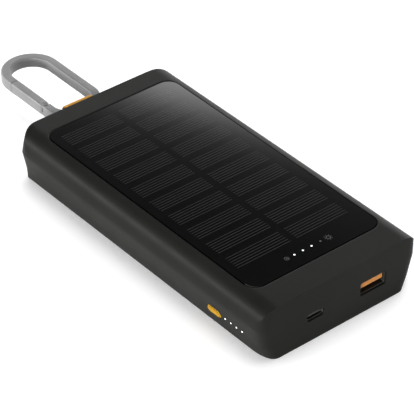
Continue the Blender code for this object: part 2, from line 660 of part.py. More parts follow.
def build_button(orange, black, white, clear):
    """Sliding cap and plunger on the button's axis, the switch, and the light guide."""
    slide = empty("button_slide", (BUTTON_FLANGE_X, BUTTON_Y, BUTTON_Z))
    half_u, half_v = BUTTON_SIZE[0] / 2, BUTTON_SIZE[1] / 2
    reach = BUTTON_FACE_X - BUTTON_FLANGE_X
    rings = []
    for x, inset in ((reach, BUTTON_LEAN), (reach + BUTTON_LEAN, 0.0), (0.0, 0.0), (0.0, -BUTTON_FLANGE),
                     (BUTTON_FLANGE_THICK, -BUTTON_FLANGE)):
        outline = round_rectangle(half_u - inset, half_v - inset, half_v - inset, steps=5)
        rings.append([(x, u, v) for u, v in outline])
    make_object("power_button", loft(rings), orange, (0, 0, 0), slide)
    plunger = prism(circle(PLUNGER_R, segments=14), "X", 0, 2.1 * MM)
    make_object("switch_plunger", plunger, white, (1.0 * MM, 0, SWITCH_MID[2] - BUTTON_Z), slide)
    body = box("side_switch", (3.5 * MM, 6.2 * MM, 3.2 * MM), SWITCH_MID, black)
    bore = cutter("cut_switch", prism(circle(PLUNGER_R + GAP, segments=14), "X", -4 * MM, 0.25 * MM), None,
                  SWITCH_MID)
    combine(body, bore, "DIFFERENCE")
    middle = (LIGHT_YS[0] + LIGHT_YS[-1]) / 2
    guide = box("side_light_guide", (1.4 * MM, 13.0 * MM, 1.6 * MM), (GUIDE_X, middle, LIGHT_Z), clear)
    pins = bmesh.new()
    for y in LIGHT_YS:
        add_prism(pins, circle(LIGHT_R, (y - middle, 0), 12), "X", -LIGHT_PIN, 0)
    combine(guide, cutter("add_light_pins", pins, None, (GUIDE_X, middle, LIGHT_Z)), "UNION")


# ---------------------------------------------------------------- strap

def hull_of_circles(first, first_r, second, second_r, steps=12):
    """Outline round two circles that lie along the u axis, joined by their tangents."""
    lean = asin((second_r - first_r) / (second[0] - first[0]))
    outline = []
    for i in range(steps + 1):
        angle = -pi / 2 - lean + (pi + 2 * lean) * i / steps
        outline.append((second[0] + second_r * cos(angle), second[1] + second_r * sin(angle)))
    for i in range(steps // 2 + 1):
        angle = pi / 2 + lean + (pi - 2 * lean) * i / (steps // 2)
        outline.append((first[0] + first_r * cos(angle), first[1] + first_r * sin(angle)))
    return outline


def build_strap(webbing, metal, plastic, screw_metal):
    """Loop outside, tail inside on its pin, and the bracket that holds the pin."""
    pivot = empty("strap_pivot", (0, STRAP_PIVOT_Y, RING_Z))
    bar = (BAR_Y - STRAP_PIVOT_Y, 0.0)
    loop = make_object("strap_loop", prism(hull_of_circles((0, 0), STRAP_ROOT_R, bar, STRAP_OUTER_R), "X",
                                           -STRAP_HALF_X, STRAP_HALF_X), webbing, (0, 0, 0), pivot)
    eye = hull_of_circles((bar[0] - 5.2 * MM, 0), 0.7 * MM, bar, STRAP_INNER_R)
    combine(loop, cutter("cut_strap_eye", prism(eye, "X", -10 * MM, 10 * MM), pivot), "DIFFERENCE")
    tail_end = STRAP_PIVOT_Y - STRAP_ROOT_R - GAP
    tail_outline = hull_of_circles((0, 0), 3.0 * MM, (tail_end - 1.8 * MM - ANCHOR_Y, 0), 1.8 * MM)
    tail = make_object("strap_tail", prism(tail_outline, "X", -STRAP_HALF_X, STRAP_HALF_X), webbing,
                       (0, ANCHOR_Y, RING_Z))
    tail_eye = prism(circle(ANCHOR_R + GAP, segments=16), "X", -10 * MM, 10 * MM)
    combine(tail, cutter("cut_tail_eye", tail_eye, None, (0, ANCHOR_Y, RING_Z)), "DIFFERENCE")
    anchor = prism(circle(ANCHOR_R, segments=16), "X", -ANCHOR_HALF_X, ANCHOR_HALF_X)
    make_object("strap_anchor_pin", anchor, metal, (0, ANCHOR_Y, RING_Z))
    build_strap_bracket(plastic, screw_metal)
    return pivot


def build_strap_bracket(plastic, screw_metal):
    outer, inner, ear = 12.0 * MM, 8.5 * MM, 18.0 * MM
    low, floor, top = 7.6 * MM, 9.8 * MM, 17.6 * MM
    outline = [(-ear, low), (ear, low), (ear, floor), (outer, floor), (outer, top), (inner, top),
               (inner, floor), (-inner, floor), (-inner, top), (-outer, top), (-outer, floor), (-ear, floor)]
    front, back = 66.4 * MM, 73.4 * MM
    bracket = make_object("strap_bracket", prism(outline, "Y", front, back), plastic)
    holes = bmesh.new()
    for low_x, high_x in ((-14 * MM, -7 * MM), (7 * MM, 14 * MM)):
        add_prism(holes, circle(ANCHOR_R + GAP, (ANCHOR_Y, RING_Z), 16), "X", low_x, high_x)
    for spot in STRAP_BOSSES:
        add_prism(holes, circle(SCREW_R + GAP, spot, 12), "Z", low - MM, floor + MM)
    combine(bracket, cutter("cut_bracket_holes", holes), "DIFFERENCE")
    for number, spot in enumerate(STRAP_BOSSES, 1):
        pan_screw(f"strap_screw_{number}", spot, low - GAP, 9.5 * MM, SCREW_R, screw_metal, True)


# ---------------------------------------------------------------- carabiner

def sweep(path):
    """Sweep the bar's section along (x, y, heading, (width, thickness)) stations in the flat of the ring."""
    rings = []
    for x, y, heading, (width, thick) in path:
        side = (sin(heading), -cos(heading))
        section = round_rectangle(width / 2, thick / 2, min(RING_ROUND, 0.45 * width), steps=3)
        rings.append([(x + side[0] * u, y + side[1] * u, v) for u, v in section])
    return loft(rings)


def arc_stations(centre, radius, start, end, steps, first=LEG, last=LEG):
    """Stations on an arc, counter-clockwise, whose section eases from the first size to the last."""
    stations = []
    for i in range(steps + 1):
        part = i / steps
        angle = start + (end - start) * part
        ease = part * part * (3 - 2 * part)
        size = tuple(a + (b - a) * ease for a, b in zip(first, last))
        stations.append((centre[0] + radius * cos(angle), centre[1] + radius * sin(angle),
                         angle + pi / 2, size))
    return stations


def build_carabiner(metal, steel, strap_pivot):
    """Frame that swings on its near bar, and the gate that turns on its pin."""
    swing = empty("carabiner_pivot", (0, BAR_Y - STRAP_PIVOT_Y, 0), strap_pivot)
    x, near_r = RING_HALF_X, RING_NEAR_R
    far = RING_FAR_Y - BAR_Y
    pivot_y = GATE_PIVOT_Y - BAR_Y
    path = [(-x, pivot_y - KNUCKLE_R + 0.2 * MM, -pi / 2, LEG)]
    path += arc_stations((-x + near_r, near_r), near_r, pi, 1.5 * pi, 7, LEG, BAR)
    path += arc_stations((x - near_r, near_r), near_r, 1.5 * pi, 2 * pi, 7, BAR, LEG)
    path += arc_stations((0, far), x, 0, pi, 20)
    path += [(-x, GATE_END_Y - BAR_Y + GAP / 2, 1.5 * pi, LEG)]
    frame = make_object("carabiner_frame", sweep(path), metal, (0, 0, 0), swing)
    seat = prism(circle(KNUCKLE_R + 0.35 * MM, (-x, pivot_y), 24), "Z", -THROUGH, THROUGH)
    combine(frame, cutter("cut_knuckle_seat", seat, swing), "DIFFERENCE")
    tongue_outline = hull_of_circles((-TONGUE_LENGTH, 0), TONGUE_HALF[0], (0, 0), TONGUE_HALF[1], 10)
    tongue = [(-v - x, u + pivot_y) for u, v in tongue_outline]
    combine(frame, cutter("add_tongue", prism(tongue, "Z", -TONGUE_T / 2, TONGUE_T / 2), swing), "UNION")
    hole = prism(circle(PIN_R + GAP, (-x, pivot_y), 16), "Z", -THROUGH, THROUGH)
    combine(frame, cutter("cut_frame_pin", hole, swing), "DIFFERENCE")
    build_gate(metal, steel, swing)


def build_gate(metal, steel, swing):
    hinge = empty("gate_pivot", (-RING_HALF_X, GATE_PIVOT_Y - BAR_Y, 0), swing)
    length = GATE_END_Y - GATE_PIVOT_Y - GAP / 2
    path = []
    for step in range(1, 7):
        turn = pi / 2 * step / 6
        path.append((0, -KNUCKLE_R * cos(turn), pi / 2, (LEG[0] * sin(turn), LEG[1])))
    gate = make_object("carabiner_gate", sweep(path + [(0, length, pi / 2, LEG)]), metal, (0, 0, 0), hinge)
    slot_half = TONGUE_T / 2 + GAP
    reach = 4.0 * MM
    slot = prism([(-reach, -reach), (reach, -reach), (reach, FORK_DEPTH), (-reach, FORK_DEPTH)], "Z",
                 -slot_half, slot_half)
    combine(gate, cutter("cut_fork", slot, hinge), "DIFFERENCE")
    bores = prism(circle(PIN_R + GAP, segments=16), "Z", -THROUGH, THROUGH)
    combine(gate, cutter("cut_gate_pin", bores, hinge), "DIFFERENCE")
    well = prism(circle(SPRING_WELL_R, segments=16), "Y", *SPRING_WELL)
    combine(gate, cutter("cut_spring_well", well, hinge), "DIFFERENCE")
    end = LEG[1] / 2 + 0.15 * MM
    pin = turned([(0, -end), (PIN_R, -end), (PIN_R, end - 0.15 * MM), (PIN_R * 0.7, end), (0, end)], 16)
    make_object("gate_pin", pin, steel, (-RING_HALF_X, GATE_PIVOT_Y - BAR_Y, 0), swing)
    turns, per_turn, coil_r, wire_r = 5.5, 10, 0.75 * MM, 0.18 * MM
    coil_start, coil_length = 2.9 * MM, 7.4 * MM
    count = int(turns * per_turn)
    step = 2 * pi / per_turn
    points = [(coil_r * cos(step * i), coil_start + coil_length * i / count, coil_r * sin(step * i))
              for i in range(count + 1)]
    spring = tube("gate_spring", points, wire_r, steel, 1)
    spring.parent = hinge


# ---------------------------------------------------------------- assembly

def build():
    case = material("dark_grey_case", (0.035, 0.035, 0.034), 0.5)
    black = material("black_plastic", (0.012, 0.012, 0.012), 0.45)
    glass = material("black_panel_glass", (0.008, 0.008, 0.009), 0.08)
    cells = material("solar_cells", (0.02, 0.03, 0.06), 0.3)
    tape = material("foam_tape", (0.02, 0.02, 0.02), 0.9)
    orange = material("orange_plastic", (0.75, 0.25, 0.03), 0.4)
    yellow_orange = material("yellow_orange_plastic", (0.75, 0.4, 0.06), 0.4)
    webbing = material("orange_strap", (0.6, 0.26, 0.06), 0.7)
    ring_grey = material("grey_coated_metal", (0.22, 0.22, 0.23), 0.4, 0.6)
    steel = material("steel", (0.55, 0.55, 0.55), 0.3, 1.0)
    green = material("green_laminate", (0.02, 0.12, 0.05), 0.5)
    copper = material("led_body", (0.8, 0.78, 0.7), 0.4)
    silver = material("aluminium_can", (0.6, 0.6, 0.62), 0.35, 1.0)
    clear = material("milky_light_guide", (0.85, 0.86, 0.88), 0.3)
    foil = material("cell_foil", (0.5, 0.5, 0.52), 0.35, 0.8)
    red = material("red_insulation", (0.5, 0.02, 0.02), 0.5)
    yellow = material("yellow_insulation", (0.7, 0.5, 0.05), 0.5)
    blue = material("blue_insulation", (0.02, 0.05, 0.4), 0.5)

    build_housing(case)
    build_cover(case)
    for number, spot in enumerate(COVER_BOSSES, 1):
        countersunk_screw(f"cover_screw_{number}", spot, steel)
    build_panel(glass, cells, tape, green)
    build_ports(steel, orange, black, black)
    build_electronics(green, black, copper, silver, black, steel)
    build_battery(foil, tape, red, black, yellow, blue)
    build_button(yellow_orange, black, clear, clear)
    pivot = build_strap(webbing, steel, black, steel)
    build_carabiner(ring_grey, steel, pivot)


build()
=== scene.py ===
import json
from math import acos, asin, cos, pi, radians, sin, sqrt

import bmesh
import bpy
from mathutils import Matrix, Vector


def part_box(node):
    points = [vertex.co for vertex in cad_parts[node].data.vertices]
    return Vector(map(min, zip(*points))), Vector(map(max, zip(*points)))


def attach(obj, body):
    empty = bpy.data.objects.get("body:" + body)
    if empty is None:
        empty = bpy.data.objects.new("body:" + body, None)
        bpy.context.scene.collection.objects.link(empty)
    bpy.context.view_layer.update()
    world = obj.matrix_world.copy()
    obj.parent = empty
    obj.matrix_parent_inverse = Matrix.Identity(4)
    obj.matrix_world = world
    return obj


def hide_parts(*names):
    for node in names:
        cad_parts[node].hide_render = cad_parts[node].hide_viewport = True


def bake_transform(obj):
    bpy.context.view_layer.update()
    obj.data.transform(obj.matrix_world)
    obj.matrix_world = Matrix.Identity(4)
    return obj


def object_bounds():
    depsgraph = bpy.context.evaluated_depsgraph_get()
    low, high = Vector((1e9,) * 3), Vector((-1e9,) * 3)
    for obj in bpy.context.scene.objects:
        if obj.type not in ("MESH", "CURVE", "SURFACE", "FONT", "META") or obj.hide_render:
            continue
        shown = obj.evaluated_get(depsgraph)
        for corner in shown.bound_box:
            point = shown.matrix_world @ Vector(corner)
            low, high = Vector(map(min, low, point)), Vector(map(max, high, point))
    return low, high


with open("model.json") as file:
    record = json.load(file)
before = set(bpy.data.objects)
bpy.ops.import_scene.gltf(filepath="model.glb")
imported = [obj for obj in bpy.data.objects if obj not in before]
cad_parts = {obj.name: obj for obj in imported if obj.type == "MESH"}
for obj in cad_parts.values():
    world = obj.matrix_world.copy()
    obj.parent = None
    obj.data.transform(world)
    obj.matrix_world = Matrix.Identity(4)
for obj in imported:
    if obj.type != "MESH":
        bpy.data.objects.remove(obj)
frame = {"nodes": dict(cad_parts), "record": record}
cad_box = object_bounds()

# ---------------------------------------------------------------- the studio
# A pale matt floor in a white room whose walls end in a soft edge. A wide light stands low on the left, a
# small one near the front left corner, and one hangs overhead. The camera looks down at the ports.

MM = 0.001
FLOOR_HALF = 3.0
FLOOR_GAP = 0.05 * MM
FLOOR_GLOW = 0.16
CAMERA_TURN = radians(-39.46)
CAMERA_RISE = radians(36.61)
CAMERA_DISTANCE = 0.92736
CAMERA_RIGHT = -1.85 * MM
CAMERA_UP = 9.66 * MM
CAMERA_NEARER = 0.2 * MM
CAMERA_LENS = 198.32
CAMERA_SENSOR = 36
CAMERA_REACH = 20
WALL_LIGHT = 3.4
# (height, share of the wall light) up the wall's soft edge; the height is a sine, tilted across the room
WALL_EDGE = ((0.552, 1.0), (0.557, 0.66), (0.561, 0.30), (0.565, 0.13), (0.572, 0.04), (0.60, 0.015))
WALL_TILT = (-0.18, 0.145, 1.0)
FRONT_SHARE = 0.14
FRONT_FADE = (-0.9, 0.3)
# (name, place, aim, width, height, power)
LIGHTS = (
    ("left_light", (-1.2, 0.95, 0.16), (0, 0, 0.01), 1.0, 0.3, 14.0),
    ("corner_light", (-0.72, -0.40, 0.06), (-0.04, -0.07, 0.005), 0.35, 0.12, 12.0),
    ("top_light", (0.1, 0.1, 1.6), (0, 0, 0), 1.0, 1.0, 14.0),
)


def new_finish(name):
    """A material, its node tree, its shader and the piece's own coordinates in metres."""
    finish = bpy.data.materials.new(name)
    finish.use_nodes = True
    tree = finish.node_tree
    shader = tree.nodes["Principled BSDF"]
    place = tree.nodes.new("ShaderNodeTexCoord").outputs["Object"]
    return finish, tree, shader, place


def feed(tree, value, socket):
    """Link an output to a socket, or set the socket to a plain value."""
    if isinstance(value, bpy.types.NodeSocket):
        tree.links.new(value, socket)
    elif value is not None:
        socket.default_value = value


def noise(tree, place, size, detail=2.0, roughness=0.5):
    """Soft random mottling whose spots are about size across."""
    made = tree.nodes.new("ShaderNodeTexNoise")
    made.inputs["Scale"].default_value = 1.0 / size
    made.inputs["Detail"].default_value = detail
    made.inputs["Roughness"].default_value = roughness
    feed(tree, place, made.inputs["Vector"])
    return made.outputs["Fac"]


def ramp(tree, factor, *stops):
    """Colours read along a factor, as (position, grey or colour) stops."""
    made = tree.nodes.new("ShaderNodeValToRGB")
    feed(tree, factor, made.inputs["Fac"])
    while len(made.color_ramp.elements) < len(stops):
        made.color_ramp.elements.new(0.5)
    for element, (position, colour) in zip(made.color_ramp.elements, stops):
        element.position = position
        element.color = (*colour, 1.0) if isinstance(colour, tuple) else (colour, colour, colour, 1.0)
    return made.outputs["Color"]


def bump(tree, shader, height, strength, depth):
    """Raise the surface by a height from 0 to 1, over any bump it already has."""
    made = tree.nodes.new("ShaderNodeBump")
    made.inputs["Strength"].default_value = strength
    made.inputs["Distance"].default_value = depth
    feed(tree, height, made.inputs["Height"])
    normal = shader.inputs["Normal"]
    if normal.is_linked:
        tree.links.new(normal.links[0].from_socket, made.inputs["Normal"])
    tree.links.new(made.outputs["Normal"], normal)


def mottle(tree, place, socket, size, low, high, detail=2.0, spread=(0.3, 0.7), roughness=0.5):
    """Let a value or a colour drift at random between two limits."""
    spots = noise(tree, place, size, detail, roughness)
    feed(tree, ramp(tree, spots, (spread[0], low), (spread[1], high)), socket)


def plain_finish(name, tone, dull, grain=None, metallic=0.0, specular=0.5):
    """A finish that drifts in tone and dullness, with a grain of (size, detail, strength, depth)."""
    finish, tree, shader, place = new_finish(name)
    mottle(tree, place, shader.inputs["Base Color"], *tone)
    mottle(tree, place, shader.inputs["Roughness"], *dull)
    shader.inputs["Metallic"].default_value = metallic
    shader.inputs["Specular IOR Level"].default_value = specular
    if grain:
        size, detail, strength, depth = grain
        bump(tree, shader, noise(tree, place, size, detail), strength, depth)
    return finish


def floor_paint():
    finish, tree, shader, place = new_finish("studio_floor_paint")
    mottle(tree, place, shader.inputs["Base Color"], 400 * MM, 0.92, 0.94)
    shader.inputs["Roughness"].default_value = 0.9
    shader.inputs["Emission Color"].default_value = (1, 1, 1, 1)
    shader.inputs["Emission Strength"].default_value = FLOOR_GLOW
    return finish


def lay_floor():
    floor_z = cad_box[0][2] - FLOOR_GAP
    corners = [(sx * FLOOR_HALF, sy * FLOOR_HALF, floor_z)
               for sx, sy in ((-1, -1), (1, -1), (1, 1), (-1, 1))]
    mesh = bpy.data.meshes.new("studio_floor")
    mesh.from_pydata(corners, [], [(0, 1, 2, 3)])
    mesh.materials.append(floor_paint())
    floor = bpy.data.objects.new("studio_floor", mesh)
    bpy.context.scene.collection.objects.link(floor)


def soft_light(name, place, aim, width, height, power):
    lamp = bpy.data.lights.new(name, "AREA")
    lamp.shape = "RECTANGLE"
    lamp.size, lamp.size_y = width, height
    lamp.energy = power
    made = bpy.data.objects.new(name, lamp)
    bpy.context.scene.collection.objects.link(made)
    made.location = place
    made.rotation_euler = (Vector(place) - Vector(aim)).to_track_quat("Z", "Y").to_euler()


def light_room():
    """White walls up to a soft edge, a dim ceiling above them, and less light from the front."""
    world = bpy.data.worlds.new("white_room")
    bpy.context.scene.world = world
    world.use_nodes = True
    tree = world.node_tree
    direction = tree.nodes.new("ShaderNodeTexCoord").outputs["Generated"]
    parts = tree.nodes.new("ShaderNodeSeparateXYZ")
    tree.links.new(direction, parts.inputs[0])
    height = tree.nodes.new("ShaderNodeVectorMath")
    height.operation = "DOT_PRODUCT"
    height.inputs[1].default_value = WALL_TILT
    tree.links.new(direction, height.inputs[0])
    walls = ramp(tree, height.outputs["Value"], *WALL_EDGE)
    front = tree.nodes.new("ShaderNodeMapRange")
    front.inputs["From Min"].default_value, front.inputs["From Max"].default_value = FRONT_FADE
    front.inputs["To Min"].default_value = FRONT_SHARE * WALL_LIGHT
    front.inputs["To Max"].default_value = WALL_LIGHT
    tree.links.new(parts.outputs["Y"], front.inputs["Value"])
    background = tree.nodes["Background"]
    feed(tree, walls, background.inputs["Color"])
    feed(tree, front.outputs["Result"], background.inputs["Strength"])
    for light in LIGHTS:
        soft_light(*light)
    bpy.context.scene.view_settings.view_transform = "Standard"


def set_camera():
    level = cos(CAMERA_RISE)
    back = Vector((sin(CAMERA_TURN) * level, -cos(CAMERA_TURN) * level, sin(CAMERA_RISE)))
    right = Vector((cos(CAMERA_TURN), sin(CAMERA_TURN), 0))
    up = back.cross(right)
    camera = bpy.data.objects.new("camera", bpy.data.cameras.new("camera"))
    camera.data.sensor_width = CAMERA_SENSOR
    camera.data.lens = CAMERA_LENS
    camera.data.clip_end = CAMERA_REACH
    camera.matrix_world = Matrix((right, up, back)).transposed().to_4x4()
    camera.location = (right * CAMERA_RIGHT + up * CAMERA_UP + back * CAMERA_DISTANCE
                       - Vector((0, CAMERA_NEARER, 0)))
    bpy.context.scene.collection.objects.link(camera)
    bpy.context.scene.camera = camera


lay_floor()
light_room()
set_camera()

# ---------------------------------------------------------------- the case shell
# The one moulding that makes the top and the four walls, in dark grey ABS with a fine spark-eroded grain.
# Its long sides are flat up to a crease and roll over above it; posts inside take the cover's screws.

CASE_LOW, CASE_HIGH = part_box("housing_shell")
HALF_Y = CASE_HIGH[1]
CASE_TOP = CASE_HIGH[2]
CREASE_HALF_X = CASE_HIGH[0]
CREASE_Z = 15.5 * MM
FOOT_HALF_X = 35.9 * MM
SIDE_LEAN = (CREASE_HALF_X - FOOT_HALF_X) / CREASE_Z
MID_Z = 6.0 * MM
MID_HALF_X = FOOT_HALF_X + SIDE_LEAN * MID_Z
FLAT_HALF_X = 31.3 * MM
ROLL_POWER = 2.5
FOOT_EDGE = 0.3 * MM
RIDGE_ROUND = 0.45 * MM
WALL = 2.2 * MM
CAVITY_TOP = 21.0 * MM
# Plan corners by height: (height, half width, semi-axis along X, semi-axis along Y, squareness)
FRONT_CORNERS = (
    (0.0, FOOT_HALF_X, 5.5 * MM, 12.0 * MM, 2.6),
    (MID_Z, MID_HALF_X, 7.5 * MM, 10.0 * MM, 4.0),
    (CREASE_Z, CREASE_HALF_X, 9.0 * MM, 9.0 * MM, 4.2),
    (CASE_TOP, CREASE_HALF_X, 9.0 * MM, 9.0 * MM, 4.2),
)
BACK_CORNERS = (
    (0.0, FOOT_HALF_X, 0.9 * MM, 0.9 * MM, 2.0),
    (MID_Z, MID_HALF_X, 4.7 * MM, 4.7 * MM, 2.6),
    (CREASE_Z, CREASE_HALF_X, 9.0 * MM, 9.0 * MM, 3.6),
    (CASE_TOP, CREASE_HALF_X, 12.0 * MM, 12.0 * MM, 2.4),
)
CAVITY_CORNERS = (
    (-1.0 * MM, 33.4 * MM, 5.0 * MM, 7.0 * MM, 2.8),
    (CREASE_Z, 37.6 * MM, 8.0 * MM, 8.0 * MM, 2.8),
    (CAVITY_TOP, 35.4 * MM, 8.0 * MM, 8.0 * MM, 2.5),
)
CORNER_COLUMNS = 26
ROLL_ROWS = 20
SIDE_ROWS = 5
POST_R = 2.7 * MM
POST_FOOT = 2.3 * MM
PILOT_R = 1.3 * MM
COVER_POSTS = [(sx * x * MM, y * MM)
               for x, y in ((30.5, -70.5), (30.5, 5.0), (30.5, 70.5)) for sx in (-1, 1)]
STRAP_POSTS = [(-15.0 * MM, 70.0 * MM), (15.0 * MM, 70.0 * MM)]
STRAP_POST_FOOT = 10.8 * MM
COVER_PILOT = (0.5 * MM, 10.5 * MM)
STRAP_PILOT = (9.0 * MM, 18.0 * MM)
HOLE_GAP = 0.12 * MM
HOLE_LEAD = 1.0 * MM
PORT_ROUNDS = (("usb_a_shell", 0.6 * MM), ("usb_c_shell", 1.6 * MM))
PORT_RIM = 0.35 * MM
BUTTON_RIM = 0.3 * MM
LIGHT_GAP = 0.05 * MM
LIGHT_RIM = 0.12 * MM
SIDE_HOLE_DEPTH = 5.0 * MM
SLOT_ROUND = 0.8 * MM
SLOT_RIM = 0.4 * MM
BUTTON_GAP = 0.24 * MM
BUTTON_HALF_Y = 3.9 * MM
BUTTON_HALF_Z = 1.8 * MM
LIGHT_R = 0.38 * MM
SLOT_HALF_X = 7.4 * MM
SLOT_HALF_Z = 3.0 * MM
PANEL_LIP = 0.9 * MM
PANEL_GAP = 0.15 * MM
PANEL_CORNER = 5.5 * MM
SEAT_FLOOR = 22.9 * MM
WINDOW = (28.0 * MM, 58.5 * MM, 1.0 * MM, (0, 1.5 * MM))
# angles in degrees above which an edge is shaded sharp, or is rounded as the ridge
SHARP = 30
FINE_SHARP = 14
RIDGE_ANGLE = 38
WELD = 2e-6


def middle_of(node):
    low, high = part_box(node)
    return [(a + b) / 2 for a, b in zip(low, high)]


def size_of(node):
    low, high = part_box(node)
    return [b - a for a, b in zip(low, high)]


def mesh_piece(name, bm, finish=None, sharp=SHARP):
    """Turn a bmesh into an object with smooth shading and sharp edges above an angle."""
    bmesh.ops.recalc_face_normals(bm, faces=bm.faces)
    mesh = bpy.data.meshes.new(name)
    bm.to_mesh(mesh)
    bm.free()
    mesh.shade_smooth()
    mesh.set_sharp_from_angle(angle=radians(sharp))
    if finish:
        mesh.materials.append(finish)
    made = bpy.data.objects.new(name, mesh)
    bpy.context.scene.collection.objects.link(made)
    return made


def settle(piece, sharp=SHARP):
    """Apply the piece's modifiers to its mesh and mark its sharp edges again."""
    scene_now = bpy.context.evaluated_depsgraph_get()
    mesh = bpy.data.meshes.new_from_object(piece.evaluated_get(scene_now))
    piece.modifiers.clear()
    piece.data = mesh
    mesh.shade_smooth()
    mesh.set_sharp_from_angle(angle=radians(sharp))
    return piece


def carve(piece, bm, operation="DIFFERENCE", sharp=SHARP):
    """Cut a shape out of a piece, or add it with UNION, and leave plain mesh."""
    tool = mesh_piece("tool", bm)
    step = piece.modifiers.new("carve", "BOOLEAN")
    step.operation = operation
    step.solver = "EXACT"
    step.object = tool
    settle(piece, sharp)
    bpy.data.objects.remove(tool)
    return piece


def level_faces(piece):
    """Keep large flat faces flat in the shading beside rounded ones."""
    step = piece.modifiers.new("level_faces", "WEIGHTED_NORMAL")
    step.keep_sharp = True
    step.weight = 100


def loft(rings, bm=None):
    """Join rings of equal length into a skin, with its ends closed."""
    bm = bm or bmesh.new()
    made = [[bm.verts.new(point) for point in ring] for ring in rings]
    count = len(made[0])
    for low, high in zip(made, made[1:]):
        for i in range(count):
            j = (i + 1) % count
            bm.faces.new((low[i], low[j], high[j], high[i]))
    bm.faces.new(list(reversed(made[0])))
    bm.faces.new(made[-1])
    return bm


def put(axis, u, v, w):
    """A point from in-plane coordinates u, v and the height w along the axis."""
    return {"X": (w, u, v), "Y": (u, w, v), "Z": (u, v, w)}[axis]


def prism(outline, axis, low, high, bm=None):
    return loft([[put(axis, u, v, w) for u, v in outline] for w in (low, high)], bm)


def circle(radius, centre=(0, 0), segments=24):
    turn = 2 * pi / segments
    return [(centre[0] + radius * cos(turn * i), centre[1] + radius * sin(turn * i))
            for i in range(segments)]


def round_box(half_u, half_v, radius, centre=(0, 0), steps=6):
    """Rounded rectangle; with the radius close to half the height it is a pill."""
    radius = min(radius, half_u - 0.01 * MM, half_v - 0.01 * MM)
    outline = []
    for quarter, (su, sv) in enumerate(((1, 1), (-1, 1), (-1, -1), (1, -1))):
        for i in range(steps + 1):
            angle = (quarter + i / steps) * pi / 2
            outline.append((centre[0] + su * (half_u - radius) + radius * cos(angle),
                            centre[1] + sv * (half_v - radius) + radius * sin(angle)))
    return outline


def lip(radius, steps=4):
    """(growth, depth) of a rounded rim, from the face down to the hole's wall."""
    turns = [pi / 2 * i / steps for i in range(steps + 1)]
    return [(radius * (1 - sin(turn)), radius * (1 - cos(turn))) for turn in turns]


def corner_levels(levels, z):
    pair = 0
    while pair < len(levels) - 2 and z > levels[pair + 1][0]:
        pair += 1
    low, high = levels[pair], levels[pair + 1]
    share = (z - low[0]) / (high[0] - low[0])
    return [a + (b - a) * share for a, b in zip(low, high)][1:]


def wall_point(levels, z, angle):
    """A point of the upright wall in a +X corner, 0 at the side and 90 degrees at the end."""
    half_x, semi_x, semi_y, power = corner_levels(levels, z)
    return (half_x - semi_x + semi_x * max(cos(angle), 0) ** (2 / power),
            HALF_Y - semi_y + semi_y * sin(angle) ** (2 / power))


def roll_half_x(z):
    """Half width of the rolled long edge above the crease."""
    rise = min(max((z - CREASE_Z) / (CASE_TOP - CREASE_Z), 0), 1)
    return FLAT_HALF_X + (CREASE_HALF_X - FLAT_HALF_X) * (1 - rise ** ROLL_POWER) ** (1 / ROLL_POWER)


def ridge_z(levels, angle):
    """Height where the rolled edge runs out of the upright corner wall."""
    low, high = CREASE_Z, CASE_TOP
    if wall_point(levels, high, angle)[0] <= FLAT_HALF_X:
        return high
    for _ in range(50):
        middle = (low + high) / 2
        if wall_point(levels, middle, angle)[0] > roll_half_x(middle):
            high = middle
        else:
            low = middle
    return low


def wall_column(levels, angle):
    """One upright line of the outer surface, from the foot to the flat top."""
    foot_x, foot_y = wall_point(levels, 0, angle)
    column = [(foot_x - grow, foot_y - grow, depth) for grow, depth in
              ((FOOT_EDGE, 0.0), (0.3 * FOOT_EDGE, 0.3 * FOOT_EDGE))]
    heights = [FOOT_EDGE + (MID_Z - FOOT_EDGE) * i / SIDE_ROWS for i in range(SIDE_ROWS)]
    heights += [MID_Z + (CREASE_Z - MID_Z) * i / SIDE_ROWS for i in range(SIDE_ROWS + 1)]
    column += [(*wall_point(levels, z, angle), z) for z in heights]
    top = ridge_z(levels, angle)
    ridge_x, ridge_y = wall_point(levels, top, angle)
    column += [(*wall_point(levels, z, angle), z) for z in
               (CREASE_Z + (top - CREASE_Z) * i / SIDE_ROWS for i in range(1, SIDE_ROWS))]
    column.append((ridge_x, ridge_y, top))
    rise = min((top - CREASE_Z) / (CASE_TOP - CREASE_Z), 1)
    start = asin(rise ** (ROLL_POWER / 2))
    for step in range(1, ROLL_ROWS + 1):
        turn = start + (pi / 2 - start) * step / ROLL_ROWS
        z = CREASE_Z + (CASE_TOP - CREASE_Z) * sin(turn) ** (2 / ROLL_POWER)
        x = FLAT_HALF_X + (CREASE_HALF_X - FLAT_HALF_X) * max(cos(turn), 0) ** (2 / ROLL_POWER)
        column.append((min(x, ridge_x), ridge_y, z))
    return column


def corner_columns(levels):
    _, half_x, semi_x, _, power = levels[-1]
    last = acos(((FLAT_HALF_X - half_x + semi_x) / semi_x) ** (power / 2))
    angles = [last * i / CORNER_COLUMNS for i in range(CORNER_COLUMNS + 1)] + [pi / 2]
    return [wall_column(levels, angle) for angle in angles]


def case_body():
    """The whole outside of the case as one solid."""
    front, back = corner_columns(FRONT_CORNERS), corner_columns(BACK_CORNERS)
    around = []
    for quarter, sx, sy in ((back, 1, 1), (back, -1, 1), (front, -1, -1), (front, 1, -1)):
        part = [[(sx * x, sy * y, z) for x, y, z in column] for column in quarter]
        around += part if sx * sy > 0 else part[::-1]
    bm = bmesh.new()
    lines = [[bm.verts.new(point) for point in column] for column in around]
    for here, line in enumerate(lines):
        after = lines[(here + 1) % len(lines)]
        for low in range(len(line) - 1):
            bm.faces.new((line[low], after[low], after[low + 1], line[low + 1]))
    bm.faces.new([line[0] for line in reversed(lines)])
    bm.faces.new([line[-1] for line in lines])
    bmesh.ops.remove_doubles(bm, verts=bm.verts, dist=WELD)
    bmesh.ops.dissolve_degenerate(bm, edges=bm.edges, dist=WELD)
    return bm


